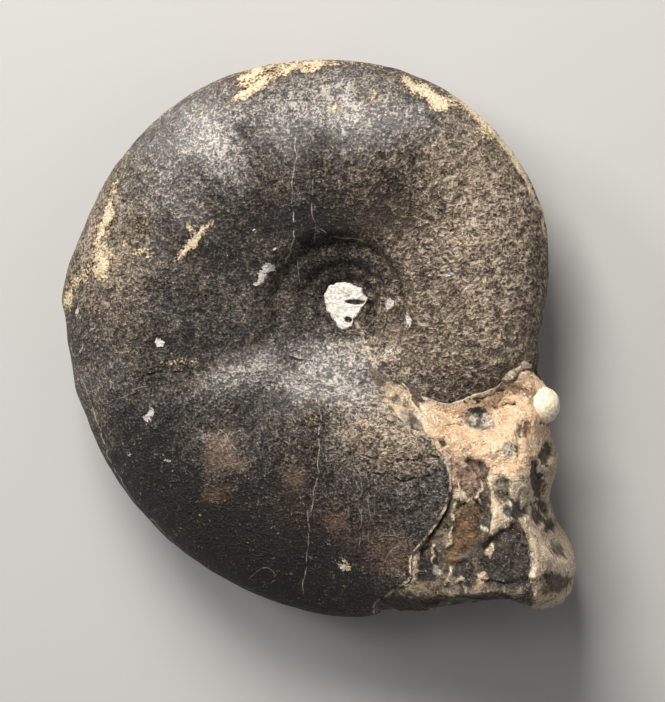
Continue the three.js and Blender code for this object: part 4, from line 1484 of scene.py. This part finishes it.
CRACKS = [
    [(-35.8, -11), (-31.8, -10.5), (-26.1, -9.9)],
    [(-10.7, -7.9), (-5, -8.6), (-1, -9.6), (2.6, -10)],
    [(-9.1, -18.8), (-6.5, -19.3), (-5, -18)],
    [(-47.3, -1.5), (-46.7, -3.7), (-46.5, -5.8)],
    [(-1, -23.2), (3.1, -24.5), (7.1, -24.8), (13.6, -24.1)],
    [(3.1, -26.9), (7.1, -27.9), (12, -27.4)],
]
print("veins and cracks:", len(VEINS), len(CRACKS))

# %% Distance with a side
LINE_REACH = 1.0


def line_side(x, y, lines):
    """Distance to the nearest of many lines, less than nought on its left, and that line's
    strength: a distance with a side passes through nought between two points of the mesh, so
    even a hair line keeps its width. Both fade out a millimetre away."""
    nearest = np.full(x.shape, LINE_REACH)
    side = np.full(x.shape, LINE_REACH)
    strength = np.zeros(x.shape)
    for strong, line in lines:
        for start, stop in zip(line[:-1], line[1:]):
            away, left_or_right = off_stretch(x, y, start, stop)
            closer = away < nearest
            nearest = np.where(closer, away, nearest)
            side = np.where(closer, away * left_or_right, side)
            strength = np.where(closer, strong, strength)
    return side, strength * smooth((LINE_REACH - nearest) / 0.5)


along, near = line_side(np.zeros(1), np.full(1, 0.3), [(1.0, [(-1, 0), (1, 0)])])
print("0.3 mm left of a line, side and strength:", along, near)

# %% [markdown]
# ## Painting the shell
# Amounts could be worked out in the finish itself, but a network can't hold so many spots. So they are
# painted on the points of the net, under the names that the finish will ask for. The drawing is the
# same on both flanks, so a line that ran on over the rim would meet its own mirror image and close
# into a loop. Veins and cracks therefore fade out before the middle of the rim.
# %% Paint the shell
DUST_BASE = 0.25
RIM_CRUST = 0.4
RIM_BARE = 1.2
RIM_FADE = 3
RIM_REACH = 1.6


def wander(points, amount, size, seed):
    """The sheet places moved about by noise of that size, so that no line or spot is drawn clean."""
    u, v = on_sheet(points)
    return u + amount * rough(points, size, seed), v + amount * rough(points, size, seed + 5)


stain_u, stain_v = wander(shell_smooth, 0.8, 3.0, 101)
line_u, line_v = wander(shell_smooth, 0.35, 2.2, 111)
vein_side, vein_near = line_side(line_u, line_v, VEINS)
crack_side, crack_near = line_side(line_u, line_v, [(1.0, line) for line in CRACKS])
on_flank = smooth((np.abs(shell_smooth[:, 2]) - RIM_BARE) / RIM_FADE)
edge_side = (shell_edge(net_share) - net_angle) * np.radians(1) * np.hypot(*shell_smooth[:, :2].T)
radius = np.maximum(np.hypot(*shell_smooth[:, :2].T), AXIS_CLEAR)
growth = np.stack([shell_smooth[:, 0] / radius, shell_smooth[:, 1] / radius, np.log(radius)], 1)

rim_wear = np.exp(-((rim_radius(net_angle) - radius) / RIM_REACH) ** 2) * smooth((stain_v + 2) / 6)
rim_wear *= RIM_CRUST * (1 - 0.9 * smooth((stain_u - 2) / 10))
down, up = folds(shell_smooth)
# Dust is raised on the fold ridges and lowered in the grooves: painted highlight and painted shade of
# the folds.
dust_and_painted_light = DUST_BASE + spread_of(DUST_AND_PAINTED_LIGHT, stain_u, stain_v) + (0.1 * up - 0.12 * down)
shell_paint = {
    "crust_and_rim_highlight": spread_of(CRUST, stain_u, stain_v) + spread_of(RIM_LINE, line_u, line_v) + rim_wear,
    "white": spread_of(WHITE, line_u, line_v),
    "rust": spread_of(RUST, stain_u, stain_v),
    "dust_and_painted_light": dust_and_painted_light,
    "coarse": coarseness(shell_smooth),
    "polish": np.clip(spread_of(POLISH, stain_u, stain_v) + 0.15 * up - 0.35 * down, 0, 1),
    "vein_side": vein_side,
    "vein_near": vein_near * on_flank,
    "crack_side": crack_side,
    "crack_near": crack_near * on_flank,
    "edge_side": np.clip(edge_side, -3, 3),
    "growth": growth,
}
for name, values in shell_paint.items():
    paint(shell, name, values)
    print(f"{name} on the shell: {values.min():.2f} to {values.max():.2f}")

# %% [markdown]
# ## Finishes
# A finish is a small network. It starts from the place on the stone in millimetres, and from the
# numbers painted on the points. A picture wrapped round the stone would do too, but it blurs close
# up. Noise of three sizes stands for grain, pores and blotches. A threshold on painted amount plus
# noise turns a soft spot into one with a ragged edge, as a crust has. So that such sums read as
# formulas, an output of the network is kept as an Amount, which can be added and multiplied.
# %% Amounts and parts
class Amount:
    """One output of the network. Plus, minus and times make the part that does the sum."""

    def __init__(self, socket):
        self.socket = socket
        self.tree = socket.id_data

    def __add__(self, other):
        return combine("ADD", self, other)

    def __sub__(self, other):
        return combine("SUBTRACT", self, other)

    def __rsub__(self, other):
        return combine("SUBTRACT", other, self)

    def __mul__(self, other):
        return combine("MULTIPLY", self, other)

    def __abs__(self):
        return combine("ABSOLUTE", self, 0.0)


def feed(part, inputs):
    """Gives a part its inputs: an amount is joined on, and a number, a place or a colour is set.
    Inputs go by name, or by number where a name comes more than once."""
    for name, value in inputs.items():
        socket = part.inputs[name]
        if isinstance(value, Amount):
            value.tree.links.new(value.socket, socket)
        elif isinstance(value, tuple):
            socket.default_value = (*value, 1)[:len(socket.default_value)]
        else:
            socket.default_value = value


def add(tree, kind, output, switches, inputs):
    """A new part with its own switches and its inputs, as the amount that it gives out."""
    part = tree.nodes.new("ShaderNode" + kind)
    for name, value in switches.items():
        setattr(part, name, value)
    feed(part, inputs)
    return Amount(part.outputs[output])


def combine(operation, first, second):
    """Two amounts, or an amount and a number, added, multiplied and so on."""
    tree = first.tree if isinstance(first, Amount) else second.tree
    return add(tree, "Math", 0, {"operation": operation}, {0: first, 1: second})


print("sums that an Amount can do: plus, minus, times, abs")


# %% Painted numbers, noise and thresholds
def painted(tree, name, output="Fac"):
    """The number or colour painted on the points under that name."""
    return add(tree, "Attribute", output, {"attribute_name": name}, {})


def place_mm(tree):
    """The place on the stone, in millimetres."""
    metres = add(tree, "TexCoord", "Object", {}, {})
    return add(tree, "Mapping", "Vector", {}, {"Vector": metres, "Scale": (1000, 1000, 1000)})


def noise(place, size, layers, roughness):
    """Noise whose lumps are about that many millimetres across, 0 to 1 with 0.5 as its mean."""
    grown = {"Vector": place, "Scale": 1 / size, "Detail": layers, "Roughness": roughness}
    return add(place.tree, "TexNoise", "Fac", {}, grown)


def eased(value, start, stop):
    """0 at start, 1 at stop, eased between."""
    ends = {"Value": value, "From Min": start, "From Max": stop}
    return add(value.tree, "MapRange", "Result", {"interpolation_type": "SMOOTHSTEP"}, ends)


def between(value, low, high):
    """Carries 0..1 to low..high, straight."""
    return add(value.tree, "MapRange", "Result", {}, {"Value": value, "To Min": low, "To Max": high})


def blend(share, first, second):
    """The first colour at share 0, the second at share 1."""
    return add(share.tree, "Mix", 2, {"data_type": "RGBA"}, {0: share, 6: first, 7: second})


def bump(height, distance, strength=1.0):
    """Fine relief too small for the mesh: distance in metres is how high a 1 stands."""
    raised = {"Height": height, "Distance": distance, "Strength": strength}
    return add(height.tree, "Bump", "Normal", {}, raised)


def new_finish(piece, name):
    """A new material on a piece: its network, and the shader to be fed."""
    finish = bpy.data.materials.new(name)
    finish.use_nodes = True
    piece.data.materials.append(finish)
    return finish.node_tree, finish.node_tree.nodes["Principled BSDF"]


print("building blocks ready")

# %% [markdown]
# ## The skin and the dust in its pores
# The shell turned to a dark mineral, nearly black where it is whole and browner where it is worn. Dust
# could be mixed in as a pale tint, but real dust sits in the pores. So the painted amount of dust is
# added to the grain, and a threshold lets it show only where both are high. The painted amount also
# holds painted light: it is higher on the fold ridges, as painted highlight, and lower in the grooves,
# low on the flank and at the top of the navel, as painted shade.
# %% Skin and dust
SKIN_DARK = (0.015, 0.0132, 0.0122)
SKIN_BROWN = (0.066, 0.047, 0.034)
FILM_GREY = (0.15, 0.14, 0.128)
FILM_BROWN = (0.255, 0.205, 0.155)
DUST_GREY = (0.50, 0.465, 0.425)
DUST_BROWN = (0.54, 0.445, 0.345)
RUST_RED = (0.105, 0.066, 0.046)
GROWTH_LINES = (34, 34, 9)

tree, shader = new_finish(shell, "shell_finish")
place = place_mm(tree)
finest = noise(place, 0.22, 2.0, 0.6)
fine = noise(place, 0.42, 3.0, 0.65)
middle = noise(place, 1.3, 3.0, 0.6)
broad = noise(place, 8.0, 3.0, 0.55)
speckle = fine * 0.7 + middle * 0.3
along = {"Vector": painted(tree, "growth", "Vector"), "Scale": GROWTH_LINES}
drawn_out = {"Vector": add(tree, "Mapping", "Vector", {}, along), "Scale": 1, "Detail": 3}
growth_lines = add(tree, "TexNoise", "Fac", {}, drawn_out)
swirled = {"Vector": place, "Scale": 0.95, "Detail": 3, "Distortion": 0.9}
wrinkle = add(tree, "TexNoise", "Fac", {}, swirled) - 0.5
coarse = painted(tree, "coarse")
polish = painted(tree, "polish")

colour = blend(eased(broad * 0.5 + coarse * 0.3, 0.34, 0.60), SKIN_DARK, SKIN_BROWN)
rusted = painted(tree, "rust") + speckle * 1.3
colour = blend(eased(rusted, 0.92, 1.6), colour, RUST_RED)
# This sum holds the painted dust with its painted light and shade; the film and the pale dust both
# follow it.
dust_and_light_sum = speckle + painted(tree, "dust_and_painted_light") * 0.36 + growth_lines * 0.16 + finest * 0.2
dust_and_light_sum = dust_and_light_sum + wrinkle * between(coarse, 0.2, 0.6)
warmth = eased(broad + (coarse - polish * 0.5), 0.3, 0.9)
colour = blend(eased(dust_and_light_sum, 0.64, 0.98), colour, blend(warmth, FILM_GREY, FILM_BROWN))
dust_and_painted_light = eased(dust_and_light_sum, 0.82, 1.02)
colour = blend(dust_and_painted_light, colour, blend(warmth, DUST_GREY, DUST_BROWN))
print("skin and dust, parts:", len(tree.nodes))

# %% [markdown]
# ## Crusts, crystal lines, specks and cracks
# Lime crusted over the skin, thin and tan at its edge and cream where it is thick. White crystal
# healed the old cracks, and chalk stuck in small spots. All of these have hard, crumbled edges, which
# a soft painted spot doesn't have, so the grain is added before each threshold. The broken edge of the
# shell shows as a cream line, because the shell is pale inside.
# %% Crusts and lines
CRUST_TAN = (0.40, 0.30, 0.185)
CRUST_CREAM = (0.66, 0.56, 0.40)
CRYSTAL = (0.46, 0.42, 0.37)
CHALK_WHITE = (0.64, 0.61, 0.57)
CRACK_BLACK = (0.012, 0.010, 0.009)
SHELL_INSIDE = (0.55, 0.46, 0.33)

# The crust amount also holds that thin rim line, so part of it is painted highlight.
crust_and_highlight_sum = painted(tree, "crust_and_rim_highlight") + speckle * 3.6
crust_and_rim_highlight = eased(crust_and_highlight_sum, 2.12, 2.5)
thick = eased(crust_and_highlight_sum + fine, 2.85, 3.5)
colour = blend(crust_and_rim_highlight, colour, blend(thick, CRUST_TAN, CRUST_CREAM))
# Pits are painted the dark of the bare skin, which is partly painted shade in them.
pits = eased(middle + finest * 0.5, 0.62, 0.5) * between(coarse, 0.15, 0.75)
colour = blend(pits, colour, SKIN_DARK)

vein_thin = eased(abs(painted(tree, "vein_side")) + fine * 0.3, 0.28, 0.15)
vein = vein_thin * painted(tree, "vein_near") * eased(middle, 0.36, 0.58)
colour = blend(vein, colour, CRYSTAL)
chalky = painted(tree, "white") + speckle * 2.2
colour = blend(eased(chalky, 1.66, 1.86), colour, CHALK_WHITE)
crack = eased(abs(painted(tree, "crack_side")), 0.26, 0.08) * painted(tree, "crack_near")
crack = crack * eased(middle, 0.42, 0.62)
colour = blend(crack, colour, CRACK_BLACK)
edge = eased(abs(painted(tree, "edge_side")) + fine * 0.9, 0.85, 0.55) * eased(middle, 0.40, 0.56)
colour = blend(edge, colour, SHELL_INSIDE)
print("with crusts and lines, parts:", len(tree.nodes))

# %% [markdown]
# ## Shine and fine relief
# Where the skin is polished it shines like silk, and elsewhere it is dull, as is everything that lies
# on it. One roughness for all would make it look like plastic, so the painted polish sets both the
# roughness and how much is mirrored. The finest relief is a bump in the finish, because the mesh can't
# be that fine, and it is weaker where the skin is polished.
# %% Shine and relief
DULL = 0.85
SKIN_RELIEF = 0.0011

covered = combine("MAXIMUM", crust_and_rim_highlight, dust_and_painted_light * 0.5)
height = speckle + growth_lines * 0.25 + finest * 0.25 - pits * 0.5
height = height + wrinkle * between(coarse, 0.5, 1.7)
height = height + vein_thin * 0.1 + crust_and_rim_highlight * 0.25 - crack * 0.6
feed(shader, {
    "Base Color": colour,
    "Roughness": between(covered, between(polish, 0.5, 0.34), DULL),
    "Specular IOR Level": between(polish, 0.16, 0.9),
    "Normal": bump(height, SKIN_RELIEF, between(polish, 1.0, 0.45)),
})
print("whole shell finish, parts:", len(tree.nodes))

# %% [markdown]
# ## Finish of the broken end
# This is stone of many kinds. A material for each kind would leave hard seams between them, so the
# colour is painted on the points and one finish works on it: grain makes it lighter and darker, dark
# stone gets pale flecks, and pale stone gets orange stains and sparkling crystal.
# %% Stone
PALE_WASH = (0.7, 0.6, 0.46)
FLECK = (0.46, 0.38, 0.27)
IRON_ORANGE = (0.62, 0.36, 0.19)
SPARKLE = (0.86, 0.78, 0.66)

tree, shader = new_finish(filling, "stone_finish")
place = place_mm(tree)
small = noise(place, 0.4, 3.0, 0.7)
shade = small * 0.5 + noise(place, 1.1, 4.0, 0.75) * 0.5
stone = painted(tree, "stone_colour", "Color")
darker = add(tree, "VectorMath", 0, {"operation": "SCALE"}, {"Vector": stone, "Scale": 0.26})
screened = {"Fac": 0.45, "Color1": stone, "Color2": PALE_WASH}
lighter = add(tree, "MixRGB", 0, {"blend_type": "SCREEN"}, screened)
paleness = add(tree, "RGBToBW", 0, {}, {"Color": stone})
dark_stone = eased(paleness, 0.45, 0.15)
pale_stone = 1.0 - dark_stone
dim = eased(shade, 0.50, 0.38) * between(eased(paleness, 0.47, 0.40), 0.25, 1.0)
colour = blend(dim, stone, darker)
lit = eased(shade, 0.51, 0.64) * between(dark_stone, 1.0, 0.35)
colour = blend(lit, colour, lighter)
fleck = eased(noise(place, 0.6, 4.0, 0.75), 0.60, 0.67) * between(dark_stone, 0.0, 0.75)
colour = blend(fleck, colour, FLECK)
stained = eased(noise(place, 0.8, 2.0, 0.5), 0.50, 0.66) * (pale_stone * 0.6)
colour = blend(stained, colour, IRON_ORANGE)
sparkling = eased(small, 0.53, 0.63) * (pale_stone * 0.7)
colour = blend(sparkling, colour, SPARKLE)
feed(shader, {
    "Base Color": colour,
    "Roughness": 0.6,
    "Specular IOR Level": 0.25,
    "Normal": bump(shade, 0.0011),
})
print("stone finish, parts:", len(tree.nodes))

# %% [markdown]
# ## Finishes of the nodule and the chalk
# The nodule is the same cream all over, and the chalk is white and dull. Plain colours would look like
# paint, so a little grain runs through both. The chalk is painted dark in its slit and pit, as painted
# shade in the holes.
# %% Nodule and chalk
NODULE_SHADE = (0.52, 0.45, 0.32)
NODULE_CREAM = (0.78, 0.72, 0.57)
CHALK_GREY = (0.36, 0.33, 0.30)
CHALK_PALE = (0.58, 0.555, 0.515)
HOLE_BLACK = (0.02, 0.015, 0.012)

tree, shader = new_finish(nodule, "nodule_finish")
small = noise(place_mm(tree), 0.5, 3.0, 0.6)
colour = blend(eased(small, 0.4, 0.62), NODULE_SHADE, NODULE_CREAM)
feed(shader, {"Base Color": colour, "Roughness": 0.55, "Normal": bump(small, 0.00015)})
print("nodule finish, parts:", len(tree.nodes))

tree, shader = new_finish(chalk, "chalk_finish")
small = noise(place_mm(tree), 0.45, 3.0, 0.6)
colour = blend(eased(small, 0.36, 0.5), CHALK_GREY, CHALK_PALE)
# Painted shade: the slit and the pit are darkened.
deep = eased(painted(tree, "hole") + small * 0.3, 0.1, 0.25)
colour = blend(deep, colour, HOLE_BLACK)
feed(shader, {"Base Color": colour, "Roughness": 0.9, "Normal": bump(small, 0.0003)})
print("chalk finish, parts:", len(tree.nodes))

# %% [markdown]
# ## One stone, one body
# The stone has no moving part, so every piece rides on the root. The four meshes could be joined into
# one, but they have finishes of their own. Together they replace the one CAD piece, which is hidden.
# %% Ride
for piece in (shell, filling, nodule, chalk):
    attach(piece, "root")
    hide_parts("ammonite")
    print(piece.name, "triangles:", sum(len(face.vertices) - 2 for face in piece.data.polygons))

# %% [markdown]
# ## Camera
# The stone is looked at from above, a little from the broken end's side. A short lens close by would
# make the near parts bulge, so the lens is long and stands half a metre away. The camera could be
# turned by angles, but then it would have to be set again whenever the stone's lie changes. So its
# three directions are worked out in the coil's own frame and turned with the stone.
# %% Camera
LENS = 150.0
SENSOR = 36.0
VIEW_HEIGHT = 113.72
camera_right = LEAN @ np.array([np.cos(TURN_TO_SIDE), 0, -np.sin(TURN_TO_SIDE)])
camera_up = LEAN @ np.array([0.0, 1, 0])
camera_back = LEAN @ np.array([np.sin(TURN_TO_SIDE), 0, np.cos(TURN_TO_SIDE)])
camera_aim = AXIS_FOOT + SHEET_MIDDLE[0] * camera_right + SHEET_MIDDLE[1] * camera_up
camera_place = camera_aim + LENS * VIEW_HEIGHT / SENSOR * camera_back

camera = bpy.data.objects.new("camera", bpy.data.cameras.new("camera"))
bpy.context.scene.collection.objects.link(camera)
camera.data.lens = LENS
camera.data.sensor_width = SENSOR
camera.data.clip_start = 0.01
camera.data.clip_end = 20
camera.matrix_world = Matrix([
    [*row, place / 1000]
    for row, place in zip(np.column_stack([camera_right, camera_up, camera_back]), camera_place)
] + [[0, 0, 0, 1]])
bpy.context.scene.camera = camera
print("camera at, m:", (camera_place / 1000).round(3))

# %% [markdown]
# ## Light and floor
# A stone like this shows its folds only in light from one side. So the key light is large and stands
# high behind the stone, where the folds throw long soft shadows and the upper flank shines. A smaller
# one on the left brings out the sheen there, one above fills the shadows a little, and a broad weak
# one on the right lifts the broken end. A weak even surround fills the rest. The floor is plain and
# pale.
# %% Light and floor
def soft_light(name, place, size, power, colour=(1, 1, 1)):
    """Square area light of that size in metres, turned to face the stone."""
    lamp = bpy.data.lights.new(name, "AREA")
    lamp.size = size
    lamp.energy = power
    lamp.color = colour
    light = bpy.data.objects.new(name, lamp)
    light.location = place
    light.rotation_mode = "QUATERNION"
    light.rotation_quaternion = (-Vector(place)).to_track_quat("-Z", "Y")
    bpy.context.scene.collection.objects.link(light)


soft_light("key_light", (-0.12, 0.55, 0.46), 0.4, 10.5, (1, 0.95, 0.89))
soft_light("left_light", (-0.54, 0.375, 0.36), 0.22, 2.5, (1, 0.97, 0.94))
soft_light("upper_light", (-0.24, 0.22, 0.75), 0.25, 1.2, (1, 0.97, 0.94))
soft_light("side_light", (0.6, -0.1, 0.5), 0.6, 1.4, (1, 0.96, 0.91))

world = bpy.data.worlds.new("surround")
world.use_nodes = True
feed(world.node_tree.nodes["Background"], {"Color": (1, 0.99, 0.98), "Strength": 0.08})
bpy.context.scene.world = world
bpy.context.scene.view_settings.view_transform = "Standard"

FLOOR_SIDE = 3.0
corners = np.array([[-1, -1, 0], [1, -1, 0], [1, 1, 0], [-1, 1, 0]]) * FLOOR_SIDE / 2
floor = new_mesh("floor", corners, [[0, 1, 2, 3]])
_, floor_shader = new_finish(floor, "floor_finish")
feed(floor_shader, {"Base Color": (0.38, 0.38, 0.38), "Roughness": 0.9})
